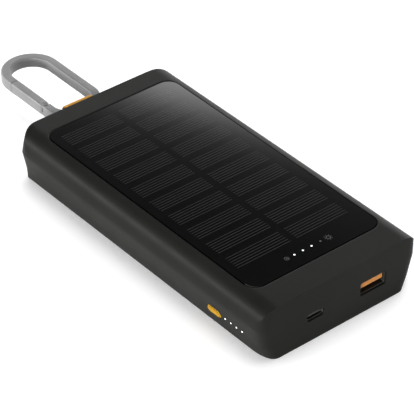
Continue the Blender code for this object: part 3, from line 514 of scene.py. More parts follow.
def cavity_body():
    rings = []
    for z, half_x, semi_x, semi_y, power in CAVITY_CORNERS:
        ring = []
        for sx, sy in ((1, 1), (-1, 1), (-1, -1), (1, -1)):
            part = []
            for i in range(9):
                angle = pi / 2 * i / 8
                part.append((sx * (half_x - semi_x + semi_x * max(cos(angle), 0) ** (2 / power)),
                             sy * (HALF_Y - WALL - semi_y + semi_y * sin(angle) ** (2 / power)), z))
            ring += part if sx * sy > 0 else part[::-1]
        rings.append(ring)
    return loft(rings)


def rimmed_hole(half_u, half_v, radius, centre, rim, surface, depth):
    """A hole through a wall with a rounded rim; surface turns (u, v, depth) into a point."""
    rings = [(rim, -HOLE_LEAD)] + lip(rim) + [(0.0, depth)]
    return loft([[surface(u, v, w)
                  for u, v in round_box(half_u + grow, half_v + grow, radius + grow, centre)]
                 for grow, w in rings])


def front_surface(u, v, w):
    return (u, -HALF_Y + w, v)


def back_surface(u, v, w):
    return (u, HALF_Y - w, v)


def left_surface(u, v, w):
    return (-(FOOT_HALF_X + SIDE_LEAN * v) + w, u, v)


def case_plastic():
    """Satin grey moulding: a fine even grain and a slow drift of tone."""
    return plain_finish("dark_grey_moulded_case",
                        (22 * MM, (0.0060, 0.0061, 0.0053), (0.0074, 0.0075, 0.0066), 3.0),
                        (9 * MM, 0.38, 0.44, 4.0), (0.22 * MM, 2.0, 0.35, 0.02 * MM), specular=0.05)


def make_case_shell():
    shell = mesh_piece("case_shell", case_body(), case_plastic(), FINE_SHARP)
    ridge = shell.modifiers.new("ridge", "BEVEL")
    ridge.width = RIDGE_ROUND
    ridge.segments = 3
    ridge.limit_method = "ANGLE"
    ridge.angle_limit = radians(RIDGE_ANGLE)
    settle(shell, FINE_SHARP)
    carve(shell, cavity_body())
    posts, pilots = bmesh.new(), bmesh.new()
    for spots, foot, pilot in ((COVER_POSTS, POST_FOOT, COVER_PILOT),
                               (STRAP_POSTS, STRAP_POST_FOOT, STRAP_PILOT)):
        for spot in spots:
            prism(circle(POST_R, spot), "Z", foot, CAVITY_TOP + MM, posts)
            prism(circle(PILOT_R, spot), "Z", *pilot, pilots)
    carve(shell, posts, "UNION")
    carve(shell, pilots)
    open_ports(shell)
    open_left_side(shell)
    open_panel_seat(shell)
    x, _, z = middle_of("strap_loop")
    carve(shell, rimmed_hole(SLOT_HALF_X, SLOT_HALF_Z, SLOT_ROUND, (x, z), SLOT_RIM, back_surface,
                             WALL + MM))
    level_faces(shell)
    return shell


def open_ports(shell):
    for node, radius in PORT_ROUNDS:
        x, _, z = middle_of(node)
        width, _, height = size_of(node)
        carve(shell, rimmed_hole(width / 2 + HOLE_GAP, height / 2 + HOLE_GAP, radius + HOLE_GAP, (x, z),
                                 PORT_RIM, front_surface, WALL + MM), sharp=FINE_SHARP)


def open_left_side(shell):
    """The button's slot and the four light holes, square to the leaning flat of the left side."""
    _, button_y, button_z = middle_of("power_button")
    half_y, half_z = BUTTON_HALF_Y + BUTTON_GAP, BUTTON_HALF_Z + BUTTON_GAP
    carve(shell, rimmed_hole(half_y, half_z, half_z, (button_y, button_z), BUTTON_RIM, left_surface,
                             SIDE_HOLE_DEPTH), sharp=FINE_SHARP)
    z = middle_of("side_light_guide")[2]
    half = LIGHT_R + LIGHT_GAP
    for number in range(1, 5):
        y = middle_of(f"side_led_{number}")[1]
        carve(shell, rimmed_hole(half, half, LIGHT_R, (y, z), LIGHT_RIM, left_surface, SIDE_HOLE_DEPTH),
              sharp=FINE_SHARP)


def open_panel_seat(shell):
    """The recess for the solar panel with its rounded lip, and the window under the cells."""
    x, y, _ = middle_of("solar_glass")
    width, length, _ = size_of("solar_glass")
    rings = [(PANEL_LIP, HOLE_LEAD)] + [(grow, -depth) for grow, depth in lip(PANEL_LIP, 6)]
    rings.append((0.0, SEAT_FLOOR - CASE_TOP))
    seat = []
    for grow, w in rings:
        outline = round_box(width / 2 + PANEL_GAP + grow, length / 2 + PANEL_GAP + grow, PANEL_CORNER + grow,
                            (x, y), 12)
        seat.append([(u, v, CASE_TOP + w) for u, v in outline])
    carve(shell, loft(seat), sharp=FINE_SHARP)
    carve(shell, prism(round_box(*WINDOW), "Z", CAVITY_TOP - 2 * MM, SEAT_FLOOR + MM), sharp=FINE_SHARP)


case_shell = make_case_shell()
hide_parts("housing_shell")
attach(case_shell, "case")

# ---------------------------------------------------------------- the bottom cover and its screws
# A flat plate of the same ABS that closes the case inside its rim. Six countersunk steel screws hold it
# from below, and two posts on it carry the circuit board.


def dress(finish, *nodes):
    """Give CAD nodes a finish in place of their plain one."""
    for node in nodes:
        for place in frame["nodes"][node].material_slots:
            place.material = finish


def screw_steel():
    """Zinc-plated steel: bright, slightly mottled, with a few darker spots."""
    return plain_finish("plated_screw_steel",
                        (1.2 * MM, (0.42, 0.42, 0.41), (0.60, 0.60, 0.58), 4.0, (0.35, 0.65)),
                        (0.3 * MM, 0.28, 0.40), (0.15 * MM, 2.0, 0.3, 0.01 * MM), metallic=1.0)


def cover_plastic():
    """The same grey ABS as the shell, with a slightly coarser, duller grain."""
    return plain_finish("dark_grey_cover", (18 * MM, (0.014, 0.014, 0.0135), (0.018, 0.018, 0.0173), 3.0),
                        (6 * MM, 0.55, 0.66, 4.0), (0.3 * MM, 2.0, 0.5, 0.03 * MM), specular=0.3)


plated_steel = screw_steel()
dress(cover_plastic(), "bottom_cover")
dress(plated_steel, *[f"cover_screw_{number}" for number in range(1, 7)])

# ---------------------------------------------------------------- the circuit board
# A green laminate board behind the ports with its chips, inductor, capacitors and the four side lights
# soldered on. Two pan-head screws hold it to the cover's posts.

BOARD_TRACK = 1.1 * MM


def board_laminate():
    """Green lacquer over copper, with a net of raised, lighter tracks."""
    finish, tree, shader, place = new_finish("green_board_laminate")
    tracks = tree.nodes.new("ShaderNodeTexVoronoi")
    tracks.feature = "DISTANCE_TO_EDGE"
    tracks.distance = "MANHATTAN"
    tracks.inputs["Scale"].default_value = 0.4 / BOARD_TRACK
    feed(tree, place, tracks.inputs["Vector"])
    distance = tracks.outputs["Distance"]
    feed(tree, ramp(tree, distance, (0.04, (0.03, 0.16, 0.06)), (0.09, (0.008, 0.07, 0.025))),
         shader.inputs["Base Color"])
    mottle(tree, place, shader.inputs["Roughness"], 2 * MM, 0.3, 0.42)
    bump(tree, shader, ramp(tree, distance, (0.04, 1.0), (0.09, 0.0)), 0.4, 0.04 * MM)
    return finish


def chip_epoxy():
    """Black moulding compound with a fine sandy grain."""
    return plain_finish("black_chip_epoxy", (0.2 * MM, 0.012, 0.022, 3.0), (1.0 * MM, 0.5, 0.65),
                        (0.1 * MM, 2.0, 0.4, 0.01 * MM))


def inductor_ferrite():
    """Pressed iron powder: grey-black and coarse."""
    return plain_finish("pressed_ferrite", (0.35 * MM, 0.03, 0.09, 4.0, (0.35, 0.75), 0.7),
                        (0.5 * MM, 0.45, 0.75), (0.2 * MM, 3.0, 0.6, 0.03 * MM), metallic=0.3)


def drawn_lines(tree, place, stretch, size):
    """Fine noise drawn out into lines along the axis with the small stretch."""
    stretched = tree.nodes.new("ShaderNodeMapping")
    stretched.inputs["Scale"].default_value = stretch
    feed(tree, place, stretched.inputs["Vector"])
    return noise(tree, stretched.outputs["Vector"], size, 2.0)


def can_aluminium():
    """Drawn aluminium can: fine upright drawing lines."""
    finish, tree, shader, place = new_finish("drawn_aluminium_can")
    lines = drawn_lines(tree, place, (1, 1, 0.04), 0.08 * MM)
    feed(tree, ramp(tree, lines, (0.3, 0.50), (0.7, 0.68)), shader.inputs["Base Color"])
    feed(tree, ramp(tree, lines, (0.3, 0.25), (0.7, 0.42)), shader.inputs["Roughness"])
    shader.inputs["Metallic"].default_value = 1.0
    bump(tree, shader, lines, 0.2, 0.01 * MM)
    return finish


def led_ceramic():
    """Small light bodies: white ceramic with a warm phosphor tint in patches."""
    return plain_finish("white_led_body",
                        (0.5 * MM, (0.80, 0.78, 0.70), (0.85, 0.74, 0.40), 2.0, (0.4, 0.6)),
                        (0.3 * MM, 0.35, 0.5))


dress(board_laminate(), "main_board", "indicator_strip")
dress(chip_epoxy(), "controller_chip", "charge_chip")
dress(inductor_ferrite(), "inductor")
dress(can_aluminium(), "capacitor_1", "capacitor_2")
dress(led_ceramic(), *[f"side_led_{number}" for number in range(1, 5)])
dress(plated_steel, "board_screw_1", "board_screw_2")

# ---------------------------------------------------------------- the battery
# Two flat pouch cells in aluminium laminate, stacked with a foam pad between them, and their two leads
# down to the board.

FOIL_CREASE = 7.0 * MM


def pouch_foil():
    """Laminated foil: dull silver with shallow random creases."""
    finish, tree, shader, place = new_finish("pouch_cell_foil")
    creases = noise(tree, place, FOIL_CREASE, 3.0, 0.6)
    feed(tree, ramp(tree, creases, (0.3, (0.44, 0.44, 0.46)), (0.7, (0.56, 0.56, 0.57))),
         shader.inputs["Base Color"])
    mottle(tree, place, shader.inputs["Roughness"], 0.6 * MM, 0.30, 0.45, 3.0)
    shader.inputs["Metallic"].default_value = 0.85
    bump(tree, shader, creases, 0.5, 0.3 * MM)
    bump(tree, shader, noise(tree, place, 0.4 * MM, 2.0), 0.2, 0.02 * MM)
    return finish


def black_foam():
    """Open-cell foam: small round pores."""
    finish, tree, shader, place = new_finish("black_open_cell_foam")
    pores = tree.nodes.new("ShaderNodeTexVoronoi")
    pores.inputs["Scale"].default_value = 1.0 / (0.5 * MM)
    feed(tree, place, pores.inputs["Vector"])
    feed(tree, ramp(tree, pores.outputs["Distance"], (0.1, 0.006), (0.6, 0.03)), shader.inputs["Base Color"])
    shader.inputs["Roughness"].default_value = 0.95
    bump(tree, shader, pores.outputs["Distance"], 0.8, 0.15 * MM)
    return finish


def lead_rubber(name, dark, light):
    """Soft wire insulation: even colour with a faint powdery bloom."""
    return plain_finish(name, (1.5 * MM, dark, light, 3.0, (0.35, 0.7)), (0.4 * MM, 0.4, 0.55),
                        (0.2 * MM, 2.0, 0.2, 0.01 * MM))


foam = black_foam()
dress(pouch_foil(), "battery_cell_lower", "battery_cell_upper")
dress(foam, "battery_foam")
dress(lead_rubber("red_lead_rubber", (0.42, 0.012, 0.012), (0.52, 0.03, 0.03)), "battery_lead_positive")
dress(lead_rubber("black_lead_rubber", (0.012, 0.012, 0.012), (0.03, 0.03, 0.03)), "battery_lead_negative")
dress(lead_rubber("yellow_lead_rubber", (0.6, 0.42, 0.03), (0.7, 0.52, 0.08)), "solar_lead_positive")
dress(lead_rubber("blue_lead_rubber", (0.015, 0.04, 0.32), (0.03, 0.07, 0.42)), "solar_lead_negative")

# ---------------------------------------------------------------- the solar panel
# Silicon cells laminated on a board, bonded into the recess with foam tape, under one black-edged glossy
# sheet. Fine silver fingers show through it in two columns of ten groups, with the charge dots in front.

GLASS_LOW, GLASS_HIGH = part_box("solar_glass")
GLASS_EDGE = 0.25 * MM
FINGER_PITCH = 1.44 * MM
FINGERS = 6
GROUP_PITCH = 11.68 * MM
GROUP_FRONT_Y = -51.25 * MM
GROUPS = 10
FINGER_WIDTH = 0.26 * MM
COLUMN_MIDDLE_X = -0.62 * MM
COLUMN_INNER = 1.55 * MM
COLUMN_OUTER = 28.15 * MM
DOT_Y = -58.1 * MM
LIT_DOT_XS = (-6.75 * MM, -2.4 * MM, 2.0 * MM)
DARK_DOT_X = 6.6 * MM
RING_MARK_X = -10.6 * MM
SUN_MARK_X = 10.6 * MM
DOT_R = 0.42 * MM
INLAY_HIGH = 0.02 * MM
INLAY_DEEP = 0.05 * MM
SUN_RING = (0.95 * MM, 0.7 * MM)
SUN_RAY = (1.15 * MM, 1.75 * MM, 0.11 * MM)
SUN_RAYS = 8
MARK_RING = (1.05 * MM, 0.8 * MM)
MARK_CORE_R = 0.35 * MM


def sum_up(tree, operation, first, second=None, third=None):
    """One arithmetic step between outputs or plain numbers."""
    made = tree.nodes.new("ShaderNodeMath")
    made.operation = operation
    for value, socket in zip((first, second, third), made.inputs):
        feed(tree, value, socket)
    return made.outputs[0]


def between(tree, value, low, high):
    """1 where a value lies between two limits, else 0."""
    above = sum_up(tree, "GREATER_THAN", value, low)
    return sum_up(tree, "MULTIPLY", above, sum_up(tree, "LESS_THAN", value, high))


def panel_glass():
    """Black glossy sheet: the printed cell fingers under it, and a faint silk texture on top."""
    finish, tree, shader, place = new_finish("black_panel_glass")
    parts = tree.nodes.new("ShaderNodeSeparateXYZ")
    feed(tree, place, parts.inputs[0])
    across = sum_up(tree, "ABSOLUTE", sum_up(tree, "SUBTRACT", parts.outputs["X"], COLUMN_MIDDLE_X))
    along = sum_up(tree, "SUBTRACT", parts.outputs["Y"], GROUP_FRONT_Y)
    in_panel = between(tree, along, 0.0, GROUPS * GROUP_PITCH)
    in_group = sum_up(tree, "FLOORED_MODULO", along, GROUP_PITCH)
    group = between(tree, in_group, 0.0, FINGERS * FINGER_PITCH)
    finger = between(tree, sum_up(tree, "FLOORED_MODULO", in_group, FINGER_PITCH),
                     (FINGER_PITCH - FINGER_WIDTH) / 2, (FINGER_PITCH + FINGER_WIDTH) / 2)
    column = between(tree, across, COLUMN_INNER, COLUMN_OUTER)
    lines = sum_up(tree, "MULTIPLY", sum_up(tree, "MULTIPLY", finger, group),
                   sum_up(tree, "MULTIPLY", column, in_panel))
    faded = ramp(tree, noise(tree, place, 3 * MM, 3.0), (0.2, 0.75), (0.7, 1.0))
    worn = sum_up(tree, "MULTIPLY", lines, faded)
    mix = tree.nodes.new("ShaderNodeMix")
    mix.data_type = "RGBA"
    feed(tree, worn, mix.inputs[0])
    mottle(tree, place, mix.inputs[6], 14 * MM, (0.0016, 0.0016, 0.0018), (0.0022, 0.0022, 0.0024))
    mix.inputs[7].default_value = (0.034, 0.034, 0.035, 1.0)
    feed(tree, mix.outputs[2], shader.inputs["Base Color"])
    mottle(tree, place, shader.inputs["Roughness"], 0.8 * MM, 0.04, 0.055)
    bump(tree, shader, noise(tree, place, 0.35 * MM, 1.0), 0.03, 0.004 * MM)
    return finish


def make_panel_glass():
    x, y, _ = middle_of("solar_glass")
    width, length, _ = size_of("solar_glass")
    edge = reversed([(GLASS_EDGE - grow, depth) for grow, depth in lip(GLASS_EDGE)])
    top = [(-inset, GLASS_HIGH[2] - depth) for inset, depth in edge]
    rings = []
    for grow, z in [(0.0, GLASS_LOW[2])] + top:
        outline = round_box(width / 2 + grow, length / 2 + grow, PANEL_CORNER + grow, (x, y), 12)
        rings.append([(u, v, z) for u, v in outline])
    return mesh_piece("panel_glass", loft(rings), panel_glass())


def silicon_board():
    """Blue-black silicon with broad crystal patches."""
    finish, tree, shader, place = new_finish("silicon_cell_board")
    crystals = tree.nodes.new("ShaderNodeTexVoronoi")
    crystals.inputs["Scale"].default_value = 1.0 / (4.0 * MM)
    feed(tree, place, crystals.inputs["Vector"])
    feed(tree, ramp(tree, crystals.outputs["Color"], (0.2, (0.008, 0.012, 0.035)),
                    (0.8, (0.014, 0.022, 0.06))), shader.inputs["Base Color"])
    mottle(tree, place, shader.inputs["Roughness"], 2 * MM, 0.25, 0.38)
    bump(tree, shader, noise(tree, place, 0.5 * MM), 0.1, 0.01 * MM)
    return finish


def lit_lens(name, glow):
    """A clear printed dot; a lit one glows white, a dark one only shows as dim grey."""
    finish, tree, shader, place = new_finish(name)
    tone = (0.85, 0.88, 0.9) if glow else (0.011, 0.011, 0.0115)
    mottle(tree, place, shader.inputs["Base Color"], 0.3 * MM, tuple(0.9 * part for part in tone), tone)
    shader.inputs["Roughness"].default_value = 0.3
    if glow:
        shader.inputs["Emission Color"].default_value = (1.0, 1.0, 1.0, 1.0)
        shader.inputs["Emission Strength"].default_value = glow
    return finish


def inlay(bm, outline, centre):
    """A thin raised print on the glass."""
    low, high = GLASS_HIGH[2] - INLAY_DEEP, GLASS_HIGH[2] + INLAY_HIGH
    x, y = centre
    prism([(x + u, y + v) for u, v in outline], "Z", low, high, bm)


def ring_inlay(bm, outer, inner, centre, parts=20):
    """A printed ring, built of short bars laid end to end."""
    for i in range(parts):
        first, last = 2 * pi * i / parts, 2 * pi * (i + 1) / parts
        inlay(bm, [(inner * cos(first), inner * sin(first)), (outer * cos(first), outer * sin(first)),
                   (outer * cos(last), outer * sin(last)), (inner * cos(last), inner * sin(last))], centre)


def make_dot(name, x, finish):
    """A low dome; profile holds (share of the radius, height)."""
    low = GLASS_HIGH[2] - INLAY_DEEP
    profile = ((1, 0), (1, 0.055 * MM), (0.8, 0.07 * MM), (0.4, 0.078 * MM))
    rings = [[(x + u, DOT_Y + v, low + rise) for u, v in circle(share * DOT_R, segments=28)]
             for share, rise in profile]
    return mesh_piece(name, loft(rings), finish)


def make_marks(finish):
    """A sun with short rays at the right end of the dots, and a plain ring at the left end."""
    sun = bmesh.new()
    ring_inlay(sun, *SUN_RING, (SUN_MARK_X, DOT_Y))
    start, end, half = SUN_RAY
    ray = [(start, -half), (end, -half), (end, half), (start, half)]
    for i in range(SUN_RAYS):
        turn = 2 * pi * i / SUN_RAYS
        inlay(sun, [(u * cos(turn) - v * sin(turn), u * sin(turn) + v * cos(turn)) for u, v in ray],
              (SUN_MARK_X, DOT_Y))
    ring = bmesh.new()
    ring_inlay(ring, *MARK_RING, (RING_MARK_X, DOT_Y))
    inlay(ring, circle(MARK_CORE_R, segments=16), (RING_MARK_X, DOT_Y))
    return mesh_piece("sun_mark", sun, finish), mesh_piece("ring_mark", ring, finish)


glass = make_panel_glass()
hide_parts("solar_glass")
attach(glass, "case")
lit, unlit = lit_lens("lit_charge_dot", 0.65), lit_lens("dark_charge_dot", 0)
dots = [make_dot(f"charge_dot_{number}", x, lit) for number, x in enumerate(LIT_DOT_XS, 1)]
dots.append(make_dot(f"charge_dot_{len(dots) + 1}", DARK_DOT_X, unlit))
marks = make_marks(unlit)
for piece in (*dots, *marks):
    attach(piece, "case")
dress(silicon_board(), "solar_cell_board")
dress(foam, "panel_tape")

# ---------------------------------------------------------------- the ports
# A USB-A socket and a USB-C socket, each a folded stainless shell around an insulator with its contacts.
# They sit on the circuit board, just behind the face of the front wall; the USB-A insulator is orange.

METAL = 0.35 * MM
SHELL_EDGE = 0.12 * MM
SHELL_SET_BACK = 0.5 * MM
USB_A_ROUND = 0.6 * MM
TONGUE_FACE = -0.3 * MM    # the USB-A insulator's underside, from the socket's middle
CONTACT_HIGH = 0.08 * MM
# (number, pitch, half width, start, end) of each row of contacts, from the front of its insulator
USB_A_PADS = (4, 2.2 * MM, 0.6 * MM, 0.8 * MM, 7.0 * MM)
USB_C_PADS = (12, 0.5 * MM, 0.13 * MM, 0.5 * MM, 4.2 * MM)
USB_C_BLADE = 0.35 * MM


def socket_steel():
    """Folded stainless sheet: fine brushing along its depth, a little dulled."""
    finish, tree, shader, place = new_finish("folded_stainless_steel")
    brushing = drawn_lines(tree, place, (1, 0.05, 1), 0.06 * MM)
    feed(tree, ramp(tree, brushing, (0.3, (0.055, 0.055, 0.053)), (0.7, (0.10, 0.10, 0.097))),
         shader.inputs["Base Color"])
    feed(tree, ramp(tree, brushing, (0.3, 0.28), (0.7, 0.42)), shader.inputs["Roughness"])
    shader.inputs["Metallic"].default_value = 1.0
    bump(tree, shader, brushing, 0.25, 0.01 * MM)
    return finish


def moulded(name, dark, light, grain=0.2 * MM, dull=0.45, gloss=0.5):
    """A small plastic moulding: mottled tone, fine grain and a satin surface."""
    return plain_finish(name, (2.5 * MM, dark, light, 3.0), (1.0 * MM, dull - 0.06, dull + 0.08),
                        (grain, 2.0, 0.3, 0.01 * MM), specular=gloss)


def contact_gold():
    """Gold flash on the contacts, with faint wipe marks."""
    finish, tree, shader, place = new_finish("gold_contacts")
    wipes = noise(tree, place, 0.3 * MM, 3.0)
    feed(tree, ramp(tree, wipes, (0.3, (0.75, 0.48, 0.16)), (0.7, (0.88, 0.62, 0.26))),
         shader.inputs["Base Color"])
    feed(tree, ramp(tree, wipes, (0.3, 0.2), (0.7, 0.38)), shader.inputs["Roughness"])
    shader.inputs["Metallic"].default_value = 1.0
    return finish


def socket_shell(name, node, radius, finish):
    """A folded sheet tube with a softened mouth and a closed back."""
    x, _, z = middle_of(node)
    width, _, height = size_of(node)
    front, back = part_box(node)[0][1] + SHELL_SET_BACK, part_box(node)[1][1]
    soft = 0.3 * SHELL_EDGE
    steps = ((METAL, back - METAL), (METAL, front + SHELL_EDGE), (METAL - soft, front + soft),
             (METAL - SHELL_EDGE, front), (SHELL_EDGE, front), (soft, front + soft),
             (0.0, front + SHELL_EDGE), (0.0, back))
    rings = []
    for inset, y in steps:
        outline = round_box(width / 2 - inset, height / 2 - inset, radius - 0.6 * inset, (x, z), 8)
        rings.append([(u, y, v) for u, v in outline])
    return mesh_piece(name, loft(rings), finish)


def rounded_block(name, low, high, edge, finish):
    """A block with softened edges between two corners."""
    centre = [(a + b) / 2 for a, b in zip(low, high)]
    half = [(b - a) / 2 for a, b in zip(low, high)]
    outline = round_box(half[0], half[2], edge, (centre[0], centre[2]), 3)
    rings = []
    for inset, y in ((edge, low[1]), (0.3 * edge, low[1] + 0.3 * edge), (0.0, low[1] + edge),
                     (0.0, high[1])):
        rings.append([(centre[0] + (u - centre[0]) * (1 - inset / half[0]), y,
                       centre[2] + (v - centre[2]) * (1 - inset / half[2])) for u, v in outline])
    return mesh_piece(name, loft(rings), finish)


def contact_rows(name, x, front, pads, faces, finish):
    """Thin gold strips let into the faces of an insulator; faces holds (height, side) pairs."""
    count, pitch, half_width, start, end = pads
    bm = bmesh.new()
    for step in range(count):
        middle = (x + (step - (count - 1) / 2) * pitch, front + (start + end) / 2)
        for z, side in faces:
            low, high = sorted((z, z + side * CONTACT_HIGH))
            prism(round_box(half_width, (end - start) / 2, 0.3 * half_width, middle, 2), "Z", low, high, bm)
    return mesh_piece(name, bm, finish)


def make_ports():
    steel, gold = socket_steel(), contact_gold()
    usb_a = socket_shell("usb_a_socket", "usb_a_shell", USB_A_ROUND, steel)
    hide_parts("usb_a_shell")
    usb_c = socket_shell("usb_c_socket", "usb_c_shell", size_of("usb_c_shell")[2] / 2 - 0.02 * MM, steel)
    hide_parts("usb_c_shell")
    x, _, z = middle_of("usb_a_shell")
    usb_a_pads = contact_rows("usb_a_contacts", x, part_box("usb_a_tongue")[0][1], USB_A_PADS,
                              ((z + TONGUE_FACE, -1),), gold)
    x, _, z = middle_of("usb_c_tongue")
    usb_c_pads = contact_rows("usb_c_contacts", x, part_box("usb_c_tongue")[0][1], USB_C_PADS,
                              ((z + USB_C_BLADE, 1), (z - USB_C_BLADE, -1)), gold)
    for piece in (usb_a, usb_c, usb_a_pads, usb_c_pads):
        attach(piece, "case")


make_ports()
dress(moulded("orange_insulator", (0.30, 0.105, 0.006), (0.36, 0.13, 0.010)), "usb_a_tongue")
dress(moulded("black_insulator", (0.010, 0.010, 0.010), (0.018, 0.018, 0.018)), "usb_c_tongue",
      "usb_c_riser")

# ---------------------------------------------------------------- the button and the side lights
# A yellow-orange pill that slides in the left wall and presses a switch through a plunger. Beside it one
# milky light guide carries the board's lights to four pin ends, flush with the wall.

BUTTON_PROUD = 0.35 * MM
BUTTON_ROUND = 0.45 * MM
BUTTON_DOME = 0.10 * MM
BUTTON_FLANGE = 0.9 * MM
FLANGE_THICK = 0.7 * MM
PIN_LIT_DEPTH = 0.5 * MM
GUIDE_GLOW = 0.55
GUIDE_THICK = 1.4 * MM
GUIDE_EDGE = 0.2 * MM
# (share of the pin's radius, height over the wall) from the pin's shoulder to its tip
PIN_PROFILE = ((1, -0.12 * MM), (0.9, -0.02 * MM), (0.6, 0.06 * MM), (0.25, 0.09 * MM))


def make_button():
    """Flanged pill whose face follows the lean of the wall."""
    inner_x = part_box("power_button")[1][0]
    flange_x = inner_x - FLANGE_THICK
    _, y, z = middle_of("power_button")
    rings = []
    for share, dome in ((-0.75, 1), (-0.35, 0.7)):
        outline = round_box(BUTTON_HALF_Y * (1 + share * 0.9), BUTTON_HALF_Z * (1 + share), BUTTON_HALF_Z,
                            (y, z), 10)
        rings.append([left_surface(u, v, -(BUTTON_PROUD + dome * BUTTON_DOME)) for u, v in outline])
    for grow, depth in reversed(lip(BUTTON_ROUND, 5)):
        inset = BUTTON_ROUND - grow
        outline = round_box(BUTTON_HALF_Y - inset, BUTTON_HALF_Z - inset, BUTTON_HALF_Z - inset, (y, z), 10)
        rings.append([left_surface(u, v, -BUTTON_PROUD + BUTTON_ROUND - depth) for u, v in outline])
    for grow, x in ((0.0, flange_x), (BUTTON_FLANGE, flange_x), (BUTTON_FLANGE, inner_x)):
        outline = round_box(BUTTON_HALF_Y + grow, BUTTON_HALF_Z + grow, BUTTON_HALF_Z + grow, (y, z), 10)
        rings.append([(x, u, v) for u, v in outline])
    finish = moulded("yellow_orange_button", (0.20, 0.105, 0.002), (0.23, 0.125, 0.004), 0.25 * MM, 0.6,
                     0.15)
    return mesh_piece("button_cap", loft(rings), finish)


def light_guide_plastic():
    """Milky clear acrylic that glows at the wall side of its pins."""
    finish, tree, shader, place = new_finish("milky_light_guide")
    parts = tree.nodes.new("ShaderNodeSeparateXYZ")
    feed(tree, place, parts.inputs[0])
    mottle(tree, place, shader.inputs["Base Color"], 1.0 * MM, (0.80, 0.81, 0.82), (0.88, 0.88, 0.88))
    shader.inputs["Roughness"].default_value = 0.35
    edge = -(FOOT_HALF_X + SIDE_LEAN * middle_of("side_light_guide")[2]) + PIN_LIT_DEPTH
    feed(tree, sum_up(tree, "LESS_THAN", parts.outputs["X"], edge), shader.inputs["Emission Color"])
    shader.inputs["Emission Strength"].default_value = GUIDE_GLOW
    return finish


def make_light_guide():
    """One bar behind the wall with four round-ended pins."""
    low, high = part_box("side_light_guide")
    z = middle_of("side_light_guide")[2]
    bar_low = (high[0] - GUIDE_THICK, low[1], low[2])
    guide = rounded_block("side_light_bar", bar_low, high, GUIDE_EDGE, light_guide_plastic())
    for number in range(1, 5):
        y = middle_of(f"side_led_{number}")[1]
        rings = [[(high[0] - 0.5 * MM, u, v) for u, v in circle(LIGHT_R, (y, z), 20)]]
        for share, proud in PIN_PROFILE:
            rings.append([left_surface(u, v, -proud) for u, v in circle(share * LIGHT_R, (y, z), 20)])
        carve(guide, loft(rings), "UNION")
    return guide


button_cap = make_button()
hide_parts("power_button")
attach(button_cap, "button")
guide = make_light_guide()
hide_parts("side_light_guide")
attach(guide, "case")
dress(moulded("white_plunger", (0.70, 0.70, 0.68), (0.80, 0.80, 0.78)), "switch_plunger")
dress(moulded("black_switch_body", (0.010, 0.010, 0.010), (0.020, 0.020, 0.020)), "side_switch")

# ---------------------------------------------------------------- the strap
# One strip of orange webbing: round a steel pin inside the case, out through the slot, round the
# carabiner's near bar and back, sewn to itself outside the slot. A plastic bracket holds the pin.

STRAP_HALF_X = 7.0 * MM
STRAP_THICK = 1.05 * MM
RIB_PITCH = 1.0 * MM
RIB_POINTS = 6
PICK_PITCH = 1.3 * MM
RIB_HIGH = 0.09 * MM
WEB_STEP = 0.28 * MM
STITCH_LENGTH = 1.5 * MM
STITCH_THREAD = 0.16 * MM
STITCH_ROWS_Y = (HALF_Y + 1.5 * MM, HALF_Y + 2.7 * MM)
STITCH_GAP = 0.35 * MM
STITCH_MARGIN = 0.7 * MM
STITCH_LIFT = 0.16 * MM
STITCH_SUNK = 0.03 * MM

joint_points = {joint["name"]: Vector(joint["pos_m"]) for joint in frame["record"]["behaviour"]["joints"]
                if "pos_m" in joint}
BAR = joint_points["carabiner_swing"]
RING_Z = BAR.z
PIN_Y = middle_of("strap_anchor_pin")[1]
BAR_WRAP_R = 3.0 * MM + STRAP_THICK / 2
PIN_WRAP_R = 1.6 * MM + STRAP_THICK / 2
SLOT_HALF_GAP = 0.58 * MM


def flowing_line(knots, step):
    """Evenly spaced points on a smooth closed line through the knots, in the plane of the knots."""
    count = len(knots)
    fine = []
    for i in range(count):
        a, b, c, d = (Vector(knots[(i + k) % count]) for k in (-1, 0, 1, 2))
        for part in range(16):
            t = part / 16
            fine.append(0.5 * (2 * b + (c - a) * t + (2 * a - 5 * b + 4 * c - d) * t ** 2
                               + (3 * b - a - 3 * c + d) * t ** 3))
    lengths = [0.0]
    for i, point in enumerate(fine):
        lengths.append(lengths[-1] + (fine[(i + 1) % len(fine)] - point).length)
    stations = round(lengths[-1] / step)
    line, here = [], 0
    for k in range(stations):
        want = lengths[-1] * k / stations
        while lengths[here + 1] < want:
            here += 1
        share = (want - lengths[here]) / (lengths[here + 1] - lengths[here])
        line.append(fine[here].lerp(fine[(here + 1) % len(fine)], share))
    return line


def webbing_line():
    """Middle line of the webbing as (y, z) points: round the bar, through the slot, round the pin."""
    top = []
    for degrees in range(0, 126, 14):
        turn = radians(degrees)
        top.append((BAR.y + BAR_WRAP_R * cos(turn), BAR_WRAP_R * sin(turn)))
    gap = SLOT_HALF_GAP
    top += [(HALF_Y + 4.6 * MM, 1.05 * MM), (HALF_Y + 2.9 * MM, gap), (HALF_Y + 1.2 * MM, gap),
            (HALF_Y - 1.5 * MM, gap), (HALF_Y - 3.5 * MM, gap + 0.1 * MM),
            (HALF_Y - 5.5 * MM, gap + 0.6 * MM)]
    for degrees in (60, 90, 125, 160):
        turn = radians(degrees)
        top.append((PIN_Y + PIN_WRAP_R * cos(turn), PIN_WRAP_R * sin(turn)))
    lower = [(y, -z) for y, z in reversed(top[1:])]
    return flowing_line([(y, z, 0) for y, z in top + lower], WEB_STEP)


def webbing_weave(u, v):
    """Height from 0 to 1 of the woven face: ribs along the strap, crossed by staggered picks."""
    rib = u / RIB_PITCH
    crown = abs(sin(pi * rib))
    stagger = 0.5 if int(rib + 100) % 2 else 0.0
    return crown * (0.55 + 0.45 * abs(sin(pi * (v / PICK_PITCH + stagger))))


